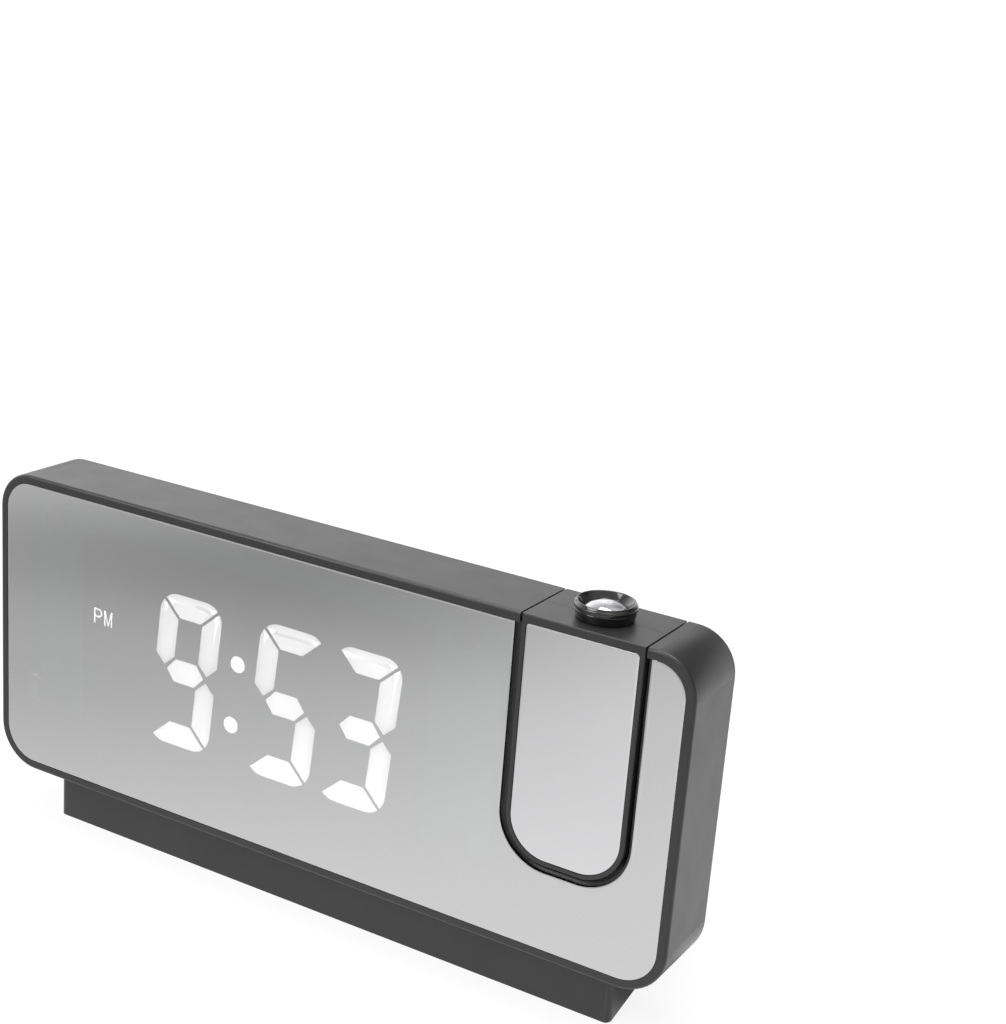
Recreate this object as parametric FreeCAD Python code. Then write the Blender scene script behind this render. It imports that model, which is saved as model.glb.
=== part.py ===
"""Projection alarm clock: a leaning slab body with a mirror front, on a low wedge foot.

Frame: +Z up, +X to the right as seen from the front, the front looks towards -Y.
The origin is on the floor, in the middle of the foot. Sizes are millimetres.

Most pieces are drawn in the body's own upright frame and then leaned back with it:
x is across, w is the depth behind the front face, and v is the height up the face.
"""
import FreeCAD
import Part
import math
import os
from FreeCAD import Placement, Rotation, Vector

# Body
body_width = 188.6
body_height = 77.8
body_depth = 19.6
lean_angle = 12.4
top_corner_radius = 9.4
bottom_corner_radius = 11.0
front_edge_radius = 0.8
shell_wall = 2.4
bezel_width = 2.2
panel_thickness = 1.5
ledge_width = 1.8
ledge_thickness = 1.4
cover_inset = 1.7
cover_thickness = 2.0
seam_gap = 0.1
panel_gap = 0.05

# Base
base_length = 160.0
base_depth = 36.2
body_lift = 14.9
base_setback = 6.5
base_overhang = 3.2
base_wall = 2.0
base_corner_radius = 1.5
foot_top_height = 16.4
foot_heel_height = 15.2
foot_heel_slope = 0.6
foot_edge_radius = 2.2
foot_corner_radius = 1.0

# Screws in the foot
foot_screw_spacing = 65.8
foot_screw_height = 6.0
foot_screw_recess = 4.1
foot_screw_recess_depth = 9.0
foot_screw_boss = 7.0
foot_screw_shank = 2.3
foot_screw_length = 12.0
foot_screw_head = 3.8
foot_screw_head_height = 1.6

# Projector arm
arm_centre_x = 67.8
arm_width = 28.8
arm_bottom_height = 22.15
arm_corner_radius = 10.6
arm_wall = 1.6
slot_gap = 0.45
slot_lip = 1.5
slot_tab_width = 1.9
slot_tab_height = 6.5
arm_mirror_border = 1.1
arm_mirror_top_border = 1.9
arm_mirror_radius = 9.4
arm_mirror_top_radius = 0.8
arm_mirror_thickness = 1.2

# Arm pivot
pivot_height = 44.0
sleeve_radius = 3.0
sleeve_bore_radius = 1.8
sleeve_flange_radius = 4.5
sleeve_flange_thickness = 0.8
pin_radius = 2.0
pin_head_radius = 3.6
pin_head_thickness = 1.2
pin_end = 0.6
running_gap = 0.05
hub_radius = 5.0
hub_length = 3.0
washer_radius = 4.6
washer_thickness = 0.5
clip_radius = 3.4
clip_thickness = 0.8
arm_cable_radius = 1.5
arm_cable_reach = 6.0

# Projector optics, on the arm's centre line
ring_radius = 6.8
ring_height = 3.8
ring_edge = 0.6
ring_band_height = 2.05
ring_groove_depth = 0.4
ring_groove_height = 0.25
ring_stem_radius = 5.6
ring_stem_length = 5.0
ring_stem_gap = 0.3
ring_catch_radius = 6.6
ring_catch_thickness = 0.8
ring_catch_gap = 0.2
ring_funnel_radius = 5.3
ring_funnel_depth = 1.5
barrel_radius = 4.5
barrel_bore_radius = 3.5
barrel_length = 11.0
barrel_drop = 1.5
lens_radius = 4.0
lens_thickness = 2.8
lens_depth = 0.1
tube_radius = 6.8
tube_bore_radius = 5.6
tube_lip = 0.8
tube_length = 20.0
tube_top_height = 64.0
slide_size = 8.6
slide_thickness = 1.0
slide_height = 58.0
condenser_radius = 5.3
condenser_thickness = 3.0
condenser_height = 51.0
led_board_width = 15.0
led_board_depth = 13.0
led_board_thickness = 1.2
led_size = 3.5
led_height = 1.6
led_dome_radius = 1.4

# Display
display_left = -69.0
display_right = 28.0
display_bottom = 14.0
display_top = 65.5
display_frame_front = 1.8
display_frame_depth = 5.4
display_well_floor = 0.7
digit_slant = 0.091
digit_centre_height = 38.55
digit_half_width = 9.2
digit_half_height = 19.45
digit_corner_radius = 5.0
segment_height = 5.9
segment_width = 5.65
segment_mitre_gap = 0.7
digit_nine_x = -36.85
digit_five_x = -7.4
digit_three_x = 13.5
digit_one_x = -57.5
colon_x = -22.0
colon_radius = 2.05
colon_upper_height = 45.1
colon_lower_height = 29.4
letter_left = -65.4
letter_bottom = 44.15
letter_height = 4.0
letter_width = 2.6
letter_space = 0.6
letter_stroke = 0.6
light_depth = 4.0
light_gap = 0.05
chip_size = 2.0
chip_height = 0.8

# Boards
board_thickness = 1.2
display_board_front = 7.3
display_board_left = -88.0
display_board_right = 46.0
display_board_bottom = 14.0
display_board_top = 70.0
display_board_corner = 1.5
board_post_radius = 2.6
board_screw_radius = 1.0
board_screw_head_radius = 1.9
board_screw_head_height = 0.9
board_screw_bite = 2.6
board_screw_inset = 3.0
board_screw_side_inset = 8.0
board_rib_thickness = 1.2
key_board_front = 11.6
key_board_width = 74.0
key_board_bottom = 42.5
key_board_top = 71.0
switch_size = 4.5
switch_height = 2.0
plunger_radius = 1.0
plunger_height = 0.6

# Keys on the rear cover
key_radius = 5.1
key_gap = 0.4
key_pitch = 16.15
key_height = 46.75
key_travel = 0.5
key_rise = 0.6
key_edge = 0.5
key_flange_radius = 5.9
key_flange_thickness = 0.7
key_stem_radius = 1.6
key_switch_gap = 0.15
pad_width = 42.4
pad_height = 14.5
pad_centre_height = 63.9
pad_flange = 0.8
pad_switch_offset = 13.0
pad_edge_radius = 0.5
pad_pivot_radius = 0.8
dimple_x = 0.5
dimple_height = 40.6
dimple_radius = 0.8
dimple_depth = 0.8

# Speaker and its grille
grille_centre_height = 27.15
grille_row_pitch = 3.95
grille_column_pitch = 9.0
grille_dot_radius = 0.7
grille_slot_length = 11.2
grille_slot_height = 0.9
speaker_radius = 14.0
speaker_rim_width = 2.0
speaker_rim_thickness = 1.0
speaker_basket_radius = 11.0
speaker_basket_depth = 2.2
speaker_wall = 0.6
magnet_radius = 7.0
magnet_thickness = 1.8
magnet_overlap = 1.5
cone_thickness = 0.3
gasket_thickness = 0.9

# Backup battery and its cover
battery_x = -75.85
battery_height = 40.95
battery_cover_radius = 11.5
battery_cover_thickness = 1.1
battery_core_radius = 10.3
battery_cover_recess = 0.1
battery_cover_gap = 0.15
battery_cover_edge = 0.2
battery_lug_reach = 1.2
battery_lug_width = 4.0
battery_lug_thickness = 0.8
battery_lug_clearance = 0.15
battery_lug_angles = (90.0, 210.0, 330.0)
battery_turn = 40.0
coin_slot_length = 9.6
coin_slot_width = 2.2
coin_slot_depth = 0.9
cell_radius = 10.0
cell_thickness = 3.2
cell_lid_inset = 1.0
cell_lid_height = 0.4
cell_can_inset = 0.2
cell_gap = 0.4
cell_headroom = 0.3
holder_wall = 1.2
holder_floor = 1.0
contact_thickness = 0.25
contact_width = 4.0
contact_reach = 0.7

# Power socket in the side
port_depth = 5.65
port_height = 20.0
port_opening_length = 9.7
port_opening_width = 3.5
port_shell_length = 8.9
port_shell_width = 3.15
port_shell_wall = 0.3
port_shell_depth = 7.3
port_shell_recess = 1.2
port_tongue_length = 6.6
port_tongue_thickness = 0.7
port_tongue_recess = 1.0

# Round label
label_x = -46.6
label_height = 61.45
label_radius = 7.55
label_thickness = 0.1

# Rear cover screws, hidden by the foot
cover_screw_x = (-66.0, -22.0, 22.0, 66.0)
cover_screw_height = 8.2
cover_screw_radius = 1.1
cover_screw_head_radius = 2.0
cover_screw_head_height = 1.2
cover_screw_length = 8.0
cover_post_radius = 3.0

# Shared by all screws and cuts
cross_length = 0.6
cross_width = 0.16
screw_clearance = 0.15
screw_tip_room = 0.3
rib_bite = 0.5
past = 1.0

# Worked out from the sizes above
half_width = body_width / 2
panel_back = panel_thickness + panel_gap
ledge_back = panel_back + ledge_thickness
cover_front = body_depth - cover_thickness
mid_depth = body_depth / 2
arm_corner_height = arm_bottom_height + arm_corner_radius
arm_half = arm_width / 2
arm_left = arm_centre_x - arm_half
arm_right = arm_centre_x + arm_half
arm_flat_half = arm_half - arm_corner_radius
board_back = display_board_front + board_thickness
cover_screw_seat = body_depth - cover_screw_head_height - seam_gap
key_board_back = key_board_front + board_thickness
body_front_y = -base_depth / 2 - base_overhang
lean = math.radians(lean_angle)
far = 400.0

lean_placement = Placement(
    Vector(0, body_front_y, body_lift), Rotation(Vector(1, 0, 0), -lean_angle)
)


def body_point(w, v):
    """World (y, z) of a point of the leaning body."""
    y = body_front_y + w * math.cos(lean) + v * math.sin(lean)
    z = body_lift - w * math.sin(lean) + v * math.cos(lean)
    return y, z


def plane_y(w, height):
    """World y of the body plane at depth w, carried on down to a height."""
    y, z = body_point(w, 0.0)
    return y + (height - z) * math.tan(lean)


def leaned(shape):
    """The shape, moved from the body's upright frame to its leaning place."""
    placed = shape.copy()
    placed.Placement = lean_placement.multiply(placed.Placement)
    return placed


def fused(shapes):
    """All the shapes joined into one solid."""
    result = shapes[0]
    for shape in shapes[1:]:
        result = result.fuse(shape)
    return result.removeSplitter()


def group(shapes):
    """Separate solids kept in one node."""
    return Part.makeCompound(shapes)


def block(x0, x1, w0, w1, v0, v1):
    """A box between two corners."""
    return Part.makeBox(x1 - x0, w1 - w0, v1 - v0, Vector(x0, w0, v0))


def rod(radius, length, x, w, v, axis):
    """A cylinder that starts at a point and runs along an axis."""
    return Part.makeCylinder(radius, length, Vector(x, w, v), axis)


def along_w(radius, w0, w1, x, v):
    """A cylinder that runs through the depth."""
    return rod(radius, w1 - w0, x, w0, v, Vector(0, 1, 0))


def along_v(radius, v0, v1, x, w):
    """A cylinder that runs up the face."""
    return rod(radius, v1 - v0, x, w, v0, Vector(0, 0, 1))


def along_x(radius, x0, x1, w, v):
    """A cylinder that runs across."""
    return rod(radius, x1 - x0, x0, w, v, Vector(1, 0, 0))


def prism(points, w0, w1):
    """A flat outline of (x, v) points, carried through the depth."""
    corners = [Vector(x, w0, v) for x, v in points]
    face = Part.Face(Part.makePolygon(corners + corners[:1]))
    return face.extrude(Vector(0, w1 - w0, 0))


def rounded_slab(x0, x1, v0, v1, w0, w1, radii):
    """A plate whose corners have radii: top right, top left, bottom left, bottom right."""
    edges = []
    centres = (
        (x1 - radii[0], v1 - radii[0], 0),
        (x0 + radii[1], v1 - radii[1], 90),
        (x0 + radii[2], v0 + radii[2], 180),
        (x1 - radii[3], v0 + radii[3], 270),
    )
    ends = []
    for radius, (cx, cv, start) in zip(radii, centres):
        marks = []
        for turn in (0, 45, 90):
            angle = math.radians(start + turn)
            marks.append(Vector(cx + radius * math.cos(angle), w0, cv + radius * math.sin(angle)))
        ends.append(marks)
    for index, marks in enumerate(ends):
        if radii[index] > 0:
            edges.append(Part.Arc(*marks).toShape())
        following = ends[(index + 1) % 4][0]
        if marks[2].distanceToPoint(following) > 1e-6:
            edges.append(Part.LineSegment(marks[2], following).toShape())
    return Part.Face(Part.Wire(edges)).extrude(Vector(0, w1 - w0, 0))


def body_slab(inset, w0, w1):
    """A plate with the body's outline, drawn in by an inset."""
    top = top_corner_radius - inset
    bottom = bottom_corner_radius - inset
    return rounded_slab(
        -half_width + inset, half_width - inset, inset, body_height - inset, w0, w1,
        (top, top, bottom, bottom),
    )


def arm_slab(grow, w0, w1, top):
    """A plate with the arm's rounded outline, grown by a margin, up to a given top."""
    bottom = arm_corner_radius + grow
    return rounded_slab(
        arm_left - grow, arm_right + grow, arm_bottom_height - grow, top, w0, w1,
        (0, 0, bottom, bottom),
    )


def stadium(x, v, width, height, w0, w1):
    """A plate with round ends, long across or long upright."""
    radius = min(width, height) / 2
    return rounded_slab(
        x - width / 2, x + width / 2, v - height / 2, v + height / 2, w0, w1,
        (radius, radius, radius, radius),
    )


def sweep_radius(offset, grow):
    """How far the arm's lower end reaches from its pivot, at an offset from its middle."""
    past_flat = max(0.0, offset - arm_flat_half)
    corner = arm_corner_radius + grow
    drop = pivot_height - arm_corner_height + math.sqrt(max(0.0, corner ** 2 - past_flat ** 2))
    return math.hypot(drop, mid_depth)


def arm_sweep(grow):
    """The room that the arm's round lower end turns in, grown by a margin."""
    reach = arm_half + grow
    steps = 8
    turn = math.pi / 2 / steps
    corner = arm_corner_radius + grow
    offsets = [arm_flat_half + corner * math.sin(turn * step) for step in range(steps + 1)]

    def rim_point(side, offset):
        return Vector(arm_centre_x + side * offset, mid_depth, pivot_height - sweep_radius(offset, grow))

    left = Part.BSplineCurve()
    left.interpolate([rim_point(-1, offset) for offset in reversed(offsets)])
    right = Part.BSplineCurve()
    right.interpolate([rim_point(1, offset) for offset in offsets])
    axis_left = Vector(arm_centre_x - reach, mid_depth, pivot_height)
    axis_right = Vector(arm_centre_x + reach, mid_depth, pivot_height)
    outline = Part.Wire([
        Part.LineSegment(axis_left, left.StartPoint).toShape(),
        left.toShape(),
        Part.LineSegment(left.EndPoint, right.StartPoint).toShape(),
        right.toShape(),
        Part.LineSegment(right.EndPoint, axis_right).toShape(),
        Part.LineSegment(axis_right, axis_left).toShape(),
    ])
    turned = Part.Face(outline).revolve(axis_left, Vector(1, 0, 0), 360)
    upper = block(arm_left - grow, arm_right + grow, -far, far, pivot_height, far)
    return turned.fuse(upper)


def ring_solid(profile, x, w):
    """A solid turned about an upright line through (x, w), from (radius, v) points."""
    corners = [Vector(x + r, w, v) for r, v in profile]
    face = Part.Face(Part.makePolygon(corners + corners[:1]))
    return face.revolve(Vector(x, w, 0), Vector(0, 0, 1), 360)


def w_turned(profile, x, v):
    """A solid turned about a line through the depth at (x, v), from (radius, w) points."""
    corners = [Vector(x + r, w, v) for r, w in profile]
    face = Part.Face(Part.makePolygon(corners + corners[:1]))
    return face.revolve(Vector(x, 0, v), Vector(0, 1, 0), 360)


def world_prism(points, length):
    """An outline of world (y, z) points, carried across and centred on x = 0."""
    corners = [Vector(-length / 2, y, z) for y, z in points]
    face = Part.Face(Part.makePolygon(corners + corners[:1]))
    return face.extrude(Vector(length, 0, 0))


def screw(radius, length, head_radius, head_height, seat, direction):
    """A cross-head screw whose head sits on a seat and whose shank runs along a direction."""
    shank = Part.makeCylinder(radius, length)
    head = Part.makeCylinder(head_radius, head_height, Vector(0, 0, -head_height))
    body = fused([shank, head])
    half_length = head_radius * cross_length
    half_width = head_radius * cross_width
    for half_x, half_y in ((half_length, half_width), (half_width, half_length)):
        corner = Vector(-half_x, -half_y, -head_height - past)
        body = body.cut(Part.makeBox(2 * half_x, 2 * half_y, past + head_height / 2, corner))
    body.Placement = Placement(seat, Rotation(Vector(0, 0, 1), direction))
    return body


# Housing: shell, front ledge, arm trough and plinth in one moulding

def plinth_points(front, rear, low, rise):
    """World outline of the plinth between two body planes, from a height up to a body height."""
    return [
        (plane_y(front, low), low), (plane_y(rear, low), low),
        body_point(rear, rise), body_point(front, rise),
    ]


def make_plinth():
    """The hollow plinth that carries the body, open towards the foot behind it."""
    outer = world_prism(plinth_points(base_setback, body_depth, 0, shell_wall / 2), base_length)
    uprights = []
    for edge in outer.Edges:
        low, high = sorted((edge.Vertexes[0].Point, edge.Vertexes[1].Point), key=lambda p: p.z)
        runs_up = high.z - low.z > base_corner_radius * 2
        at_front = low.y < plane_y(base_setback, 0) + seam_gap
        if runs_up and at_front:
            uprights.append(edge)
    outer = outer.makeFillet(base_corner_radius, uprights)
    inside = plinth_points(base_setback + base_wall, body_depth + base_wall, base_wall, -base_wall)
    return outer.cut(world_prism(inside, base_length - 2 * base_wall))


def foot_screw_seats():
    """World seats of the two foot screw heads."""
    heel_y = base_depth / 2
    y = heel_y - foot_screw_recess_depth
    return [Vector(side * foot_screw_spacing / 2, y, foot_screw_height) for side in (-1, 1)]


def make_plinth_bosses():
    """The two posts in the plinth that the foot screws bite into."""
    bosses = []
    front = plane_y(base_setback, foot_screw_height) + base_wall / 2
    rear = plane_y(body_depth, foot_screw_height) - seam_gap
    for seat in foot_screw_seats():
        start = Vector(seat.x, front, seat.z)
        post = Part.makeCylinder(foot_screw_boss / 2, rear - front, start, Vector(0, 1, 0))
        depth = foot_screw_length + screw_tip_room
        bore = Part.makeCylinder(foot_screw_shank / 2, depth, seat, Vector(0, -1, 0))
        bosses.append(post.cut(bore))
    return bosses


def board_posts():
    """(x, v) of the four posts that carry the display board."""
    xs = (display_board_left + board_screw_side_inset, display_board_right - board_screw_side_inset)
    vs = (display_board_bottom + board_screw_inset, display_board_top - board_screw_inset)
    return [(x, v) for x in xs for v in vs]


def make_board_posts():
    """The display board's posts, each on a rib from the nearer long wall."""
    pieces = []
    for x, v in board_posts():
        pieces.append(along_w(board_post_radius, ledge_back, display_board_front, x, v))
        if v > body_height / 2:
            wall = body_height - shell_wall + rib_bite
        else:
            wall = shell_wall - rib_bite
        pieces.append(block(
            x - board_rib_thickness / 2, x + board_rib_thickness / 2, ledge_back, display_board_front,
            min(v, wall), max(v, wall),
        ))
    return pieces


def make_cover_posts():
    """The rear cover's posts, each on a rib from the lower wall."""
    pieces = []
    for x in cover_screw_x:
        pieces.append(along_w(cover_post_radius, ledge_back, cover_front, x, cover_screw_height))
        pieces.append(block(
            x - board_rib_thickness / 2, x + board_rib_thickness / 2, ledge_back, cover_front,
            shell_wall - rib_bite, cover_screw_height,
        ))
    return pieces


def port_opening(x0, x1, length, width):
    """The power socket's long round-ended opening, across the side wall."""
    slab = stadium(0, 0, width, length, x0, x1)
    turned = slab.copy()
    turned.rotate(Vector(0, 0, 0), Vector(0, 0, 1), -90)
    turned.translate(Vector(0, port_depth, port_height))
    return turned


def make_housing():
    """The one-piece front moulding with its plinth."""
    whole = body_slab(0, 0, body_depth)
    rim = [edge for edge in whole.Edges if edge.BoundBox.YMax < 0.001]
    whole = whole.makeFillet(front_edge_radius, rim)
    shell = whole.cut(body_slab(bezel_width, -past, panel_back))
    shell = shell.cut(body_slab(bezel_width + ledge_width, -past, ledge_back + 0.01))
    shell = shell.cut(body_slab(shell_wall, ledge_back, body_depth + past))
    shell = shell.cut(body_slab(cover_inset, cover_front, body_depth + past))
    trough = arm_sweep(slot_lip).common(body_slab(0, 0, cover_front)).common(whole)
    lip = trough.common(arm_slab(slot_lip, 0, panel_back, body_height))
    trough = trough.common(body_slab(0, panel_back, cover_front)).fuse(lip)
    pieces = [shell, trough]
    for side in (-1, 1):
        inner = arm_centre_x + side * (arm_half + slot_gap)
        outer = arm_centre_x + side * (arm_half + slot_tab_width)
        pieces.append(block(
            min(inner, outer), max(inner, outer),
            cover_front - past, body_depth, body_height - slot_tab_height, body_height,
        ))
    pieces += make_board_posts() + make_cover_posts()
    body = fused(pieces)
    body = body.cut(arm_sweep(slot_gap))
    body = body.cut(port_opening(-half_width - past, -half_width + shell_wall + past,
                                 port_opening_length, port_opening_width))
    wall_left = arm_left - slot_lip
    wall_right = arm_right + slot_lip
    pin_hole = pin_radius + running_gap
    body = body.cut(along_x(sleeve_radius, wall_left - past, arm_left, mid_depth, pivot_height))
    body = body.cut(along_x(pin_hole, arm_right, wall_right + past, mid_depth, pivot_height))
    for x, v in board_posts():
        body = body.cut(along_w(board_screw_radius, display_board_front - board_screw_bite - screw_tip_room,
                                display_board_front + past, x, v))
    for x in cover_screw_x:
        body = body.cut(along_w(cover_screw_radius, cover_front - cover_screw_length,
                                cover_front + past, x, cover_screw_height))
    return fused([leaned(body), make_plinth()] + make_plinth_bosses())


# Front panel

def make_mirror_panel():
    """The half-mirror sheet in the bezel, notched for the arm's trough."""
    sheet = body_slab(bezel_width + panel_gap, panel_gap, panel_back)
    return leaned(sheet.cut(arm_slab(slot_lip + panel_gap, -past, panel_back + past, far)))


# Rear cover and what it carries

def key_places():
    """x of the four round keys, from the left seen from the front."""
    return [(index - 1.5) * key_pitch for index in range(4)]


def grille_cuts():
    """The staggered dots and slots of the speaker grille."""
    cuts = []
    for row in range(5):
        v = grille_centre_height + (2 - row) * grille_row_pitch
        shift = row % 2
        dots = 4 + shift
        for index in range(dots):
            x = (index - (dots - 1) / 2) * 2 * grille_column_pitch
            cuts.append(along_w(grille_dot_radius, cover_front - past, body_depth + past, x, v))
            if index < dots - 1:
                cuts.append(stadium(x + grille_column_pitch, v, grille_slot_length, grille_slot_height,
                                    cover_front - past, body_depth + past))
    return cuts


def key_board_posts():
    """(x, v) of the posts that carry the key board."""
    reach = key_board_width / 2 - board_screw_inset
    vs = (key_board_bottom + board_screw_inset, key_board_top - board_screw_inset)
    return [(x, v) for x in (-reach, reach) for v in vs]


def lug_bar(reach, w0, w1, angle, width):
    """A bar from the battery cover's middle to past its core, turned to an angle."""
    radius = battery_core_radius + reach
    bar = block(0, radius, w0, w1, -width / 2, width / 2)
    bar.rotate(Vector(0, 0, 0), Vector(0, 1, 0), -angle)
    bar.translate(Vector(battery_x, 0, battery_height))
    return bar.common(along_w(radius, w0, w1, battery_x, battery_height))


def make_rear_cover():
    """The flat rear cover with its openings, key board posts and battery mouth."""
    plate = body_slab(cover_inset + seam_gap, cover_front, body_depth)
    plate = plate.cut(arm_sweep(slot_gap))
    for side in (-1, 1):
        inner = arm_centre_x + side * arm_half
        outer = arm_centre_x + side * (arm_half + slot_tab_width + seam_gap)
        plate = plate.cut(block(
            min(inner, outer), max(inner, outer), cover_front - past, body_depth + past,
            body_height - slot_tab_height - seam_gap, body_height + past,
        ))
    for x, v in key_board_posts():
        plate = plate.fuse(along_w(board_post_radius, key_board_back, cover_front + rib_bite, x, v))
        hole_end = key_board_back + board_screw_bite + screw_tip_room
        plate = plate.cut(along_w(board_screw_radius, key_board_back - past, hole_end, x, v))
    for x in key_places():
        plate = plate.cut(along_w(key_radius + key_gap, cover_front - past, body_depth + past, x, key_height))
    plate = plate.cut(stadium(0, pad_centre_height, pad_width + 2 * key_gap, pad_height + 2 * key_gap,
                              cover_front - past, body_depth + past))
    plate = plate.cut(along_w(dimple_radius, body_depth - dimple_depth, body_depth + past,
                              dimple_x, dimple_height))
    plate = plate.cut(group(grille_cuts()))
    plate = plate.cut(along_w(battery_cover_radius + battery_cover_gap, battery_seat, body_depth + past,
                              battery_x, battery_height))
    plate = plate.cut(along_w(battery_core_radius + battery_cover_gap, cover_front - past, body_depth + past,
                              battery_x, battery_height))
    for angle in battery_lug_angles:
        plate = plate.cut(lug_bar(battery_lug_reach + battery_lug_clearance, cover_front - past, battery_seat,
                                  angle - battery_turn, battery_lug_width + 2 * battery_lug_clearance))
    for x in cover_screw_x:
        shank_hole = cover_screw_radius + screw_clearance
        head_hole = cover_screw_head_radius + screw_clearance
        plate = plate.cut(along_w(shank_hole, cover_front - past, body_depth + past, x, cover_screw_height))
        plate = plate.cut(along_w(head_hole, cover_screw_seat, body_depth + past, x, cover_screw_height))
    return leaned(plate.removeSplitter())


def make_cover_screws():
    """The screws that hold the rear cover, under the foot."""
    screws = []
    for x in cover_screw_x:
        seat = Vector(x, cover_screw_seat, cover_screw_height)
        screws.append(screw(cover_screw_radius, cover_screw_length, cover_screw_head_radius,
                            cover_screw_head_height, seat, Vector(0, -1, 0)))
    return leaned(group(screws))


def make_key(x):
    """A round key cap with a hidden flange and a stem over its switch."""
    top = body_depth + key_rise
    flange_back = cover_front - key_gap / 2
    tip = key_board_back + switch_height + plunger_height + key_travel + key_switch_gap
    cap = w_turned([
        (0, flange_back - key_flange_thickness), (key_radius, flange_back - key_flange_thickness),
        (key_radius, top - key_edge), (key_radius - key_edge, top), (0, top),
    ], x, key_height)
    flange = along_w(key_flange_radius, flange_back - key_flange_thickness, flange_back, x, key_height)
    stem = along_w(key_stem_radius, tip, flange_back - key_flange_thickness + 0.1, x, key_height)
    return leaned(fused([cap, flange, stem]))


def make_pad():
    """The long pad, which rocks on a rib and presses a switch at each end."""
    top = body_depth + key_rise
    back = cover_front - key_flange_thickness
    tip = key_board_back + switch_height + plunger_height + key_travel + key_switch_gap
    cap = stadium(0, pad_centre_height, pad_width, pad_height, back, top)
    face = [edge for edge in cap.Edges if edge.BoundBox.YMin > top - 0.001]
    cap = cap.makeFillet(pad_edge_radius, face)
    lower = pad_centre_height - pad_height / 2 - pad_flange
    flange = block(-pad_width / 6, pad_width / 6, back, cover_front - key_gap,
                   lower, lower + pad_height + 2 * pad_flange)
    pieces = [cap, flange]
    for side in (-1, 1):
        x = side * pad_switch_offset
        pieces.append(along_w(key_stem_radius, tip, back + 0.1, x, pad_centre_height))
    rib = key_board_back + seam_gap
    pieces.append(block(-pad_pivot_radius, pad_pivot_radius, rib + pad_pivot_radius, back + 0.1,
                        pad_centre_height - pad_height / 4, pad_centre_height + pad_height / 4))
    pieces.append(rod(pad_pivot_radius, pad_height / 2, 0, rib + pad_pivot_radius,
                      pad_centre_height - pad_height / 4, Vector(0, 0, 1)))
    return leaned(fused(pieces))


def switch_places():
    """(x, v) of every push switch on the key board."""
    places = [(x, key_height) for x in key_places()]
    places += [(side * pad_switch_offset, pad_centre_height) for side in (-1, 1)]
    return places


def make_key_board():
    """The board behind the rear cover that carries the push switches."""
    half = key_board_width / 2
    board = rounded_slab(-half, half, key_board_bottom, key_board_top, key_board_front, key_board_back,
                         (display_board_corner,) * 4)
    for x, v in key_board_posts():
        board = board.cut(along_w(board_screw_radius + screw_clearance, key_board_front - past,
                                  key_board_back + past, x, v))
    return leaned(board)


def make_key_board_screws():
    """The screws that hold the key board to the rear cover's posts."""
    screws = []
    for x, v in key_board_posts():
        screws.append(screw(board_screw_radius, board_thickness + board_screw_bite, board_screw_head_radius,
                            board_screw_head_height, Vector(x, key_board_front, v), Vector(0, 1, 0)))
    return leaned(group(screws))


def make_switches():
    """The push switches, each a square body with a round plunger."""
    switches = []
    half = switch_size / 2
    top = key_board_back + switch_height
    for x, v in switch_places():
        body = block(x - half, x + half, key_board_back, top, v - half, v + half)
        switches.append(fused([body, along_w(plunger_radius, top, top + plunger_height, x, v)]))
    return leaned(group(switches))


# Speaker

speaker_face = cover_front - gasket_thickness


def make_gasket():
    """The foam ring between the speaker's rim and the rear cover."""
    outer = along_w(speaker_radius, speaker_face, cover_front, 0, grille_centre_height)
    inner = along_w(speaker_radius - speaker_rim_width, speaker_face - past, cover_front + past,
                    0, grille_centre_height)
    return leaned(outer.cut(inner))


def make_speaker_frame():
    """The pressed basket of the speaker, open at the front for its cone."""
    rim_front = speaker_face - speaker_rim_thickness
    back = rim_front - speaker_basket_depth
    inner = speaker_basket_radius - speaker_wall
    return leaned(w_turned([
        (magnet_radius - magnet_overlap, back), (speaker_basket_radius, back),
        (speaker_basket_radius, rim_front),
        (speaker_radius, rim_front), (speaker_radius, speaker_face),
        (speaker_radius - speaker_rim_width, speaker_face),
        (inner, rim_front + speaker_wall), (inner, back + speaker_wall),
        (magnet_radius - magnet_overlap, back + speaker_wall),
    ], 0, grille_centre_height))


def make_magnet():
    """The round magnet on the back of the basket."""
    back = speaker_face - speaker_rim_thickness - speaker_basket_depth
    return leaned(along_w(magnet_radius, back - magnet_thickness, back, 0, grille_centre_height))


def make_cone():
    """The shallow cone with its raised dust cap and surround."""
    rim = speaker_face - 0.3
    deep = rim - 1.5
    edge = speaker_basket_radius - speaker_wall - 0.1
    inner = edge * 0.45
    profile = [
        (0, deep + 0.5), (inner, deep), (edge - 1.2, rim), (edge, rim - 0.4),
        (edge, rim - 0.4 - cone_thickness), (edge - 1.2, rim - cone_thickness),
        (inner, deep - cone_thickness), (0, deep + 0.5 - cone_thickness),
    ]
    return leaned(w_turned(profile, 0, grille_centre_height))


# Backup battery

battery_cover_back = body_depth - battery_cover_recess - battery_cover_thickness
battery_seat = battery_cover_back - seam_gap / 2
battery_lug_back = cover_front - battery_lug_clearance - battery_lug_thickness
holder_back = battery_lug_back - cell_headroom - cell_thickness - contact_thickness - holder_floor


def make_battery_holder():
    """The round well behind the rear cover that takes the cell, with room for the cover's lugs."""
    reach = battery_core_radius + battery_lug_reach + battery_lug_clearance
    well = along_w(reach + holder_wall, holder_back, cover_front, battery_x, battery_height)
    lug_floor = battery_lug_back - battery_lug_clearance
    well = well.cut(along_w(cell_radius + cell_gap, holder_back + holder_floor, cover_front + past,
                            battery_x, battery_height))
    well = well.cut(along_w(reach, lug_floor, cover_front + past, battery_x, battery_height))
    return leaned(well)


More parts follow.
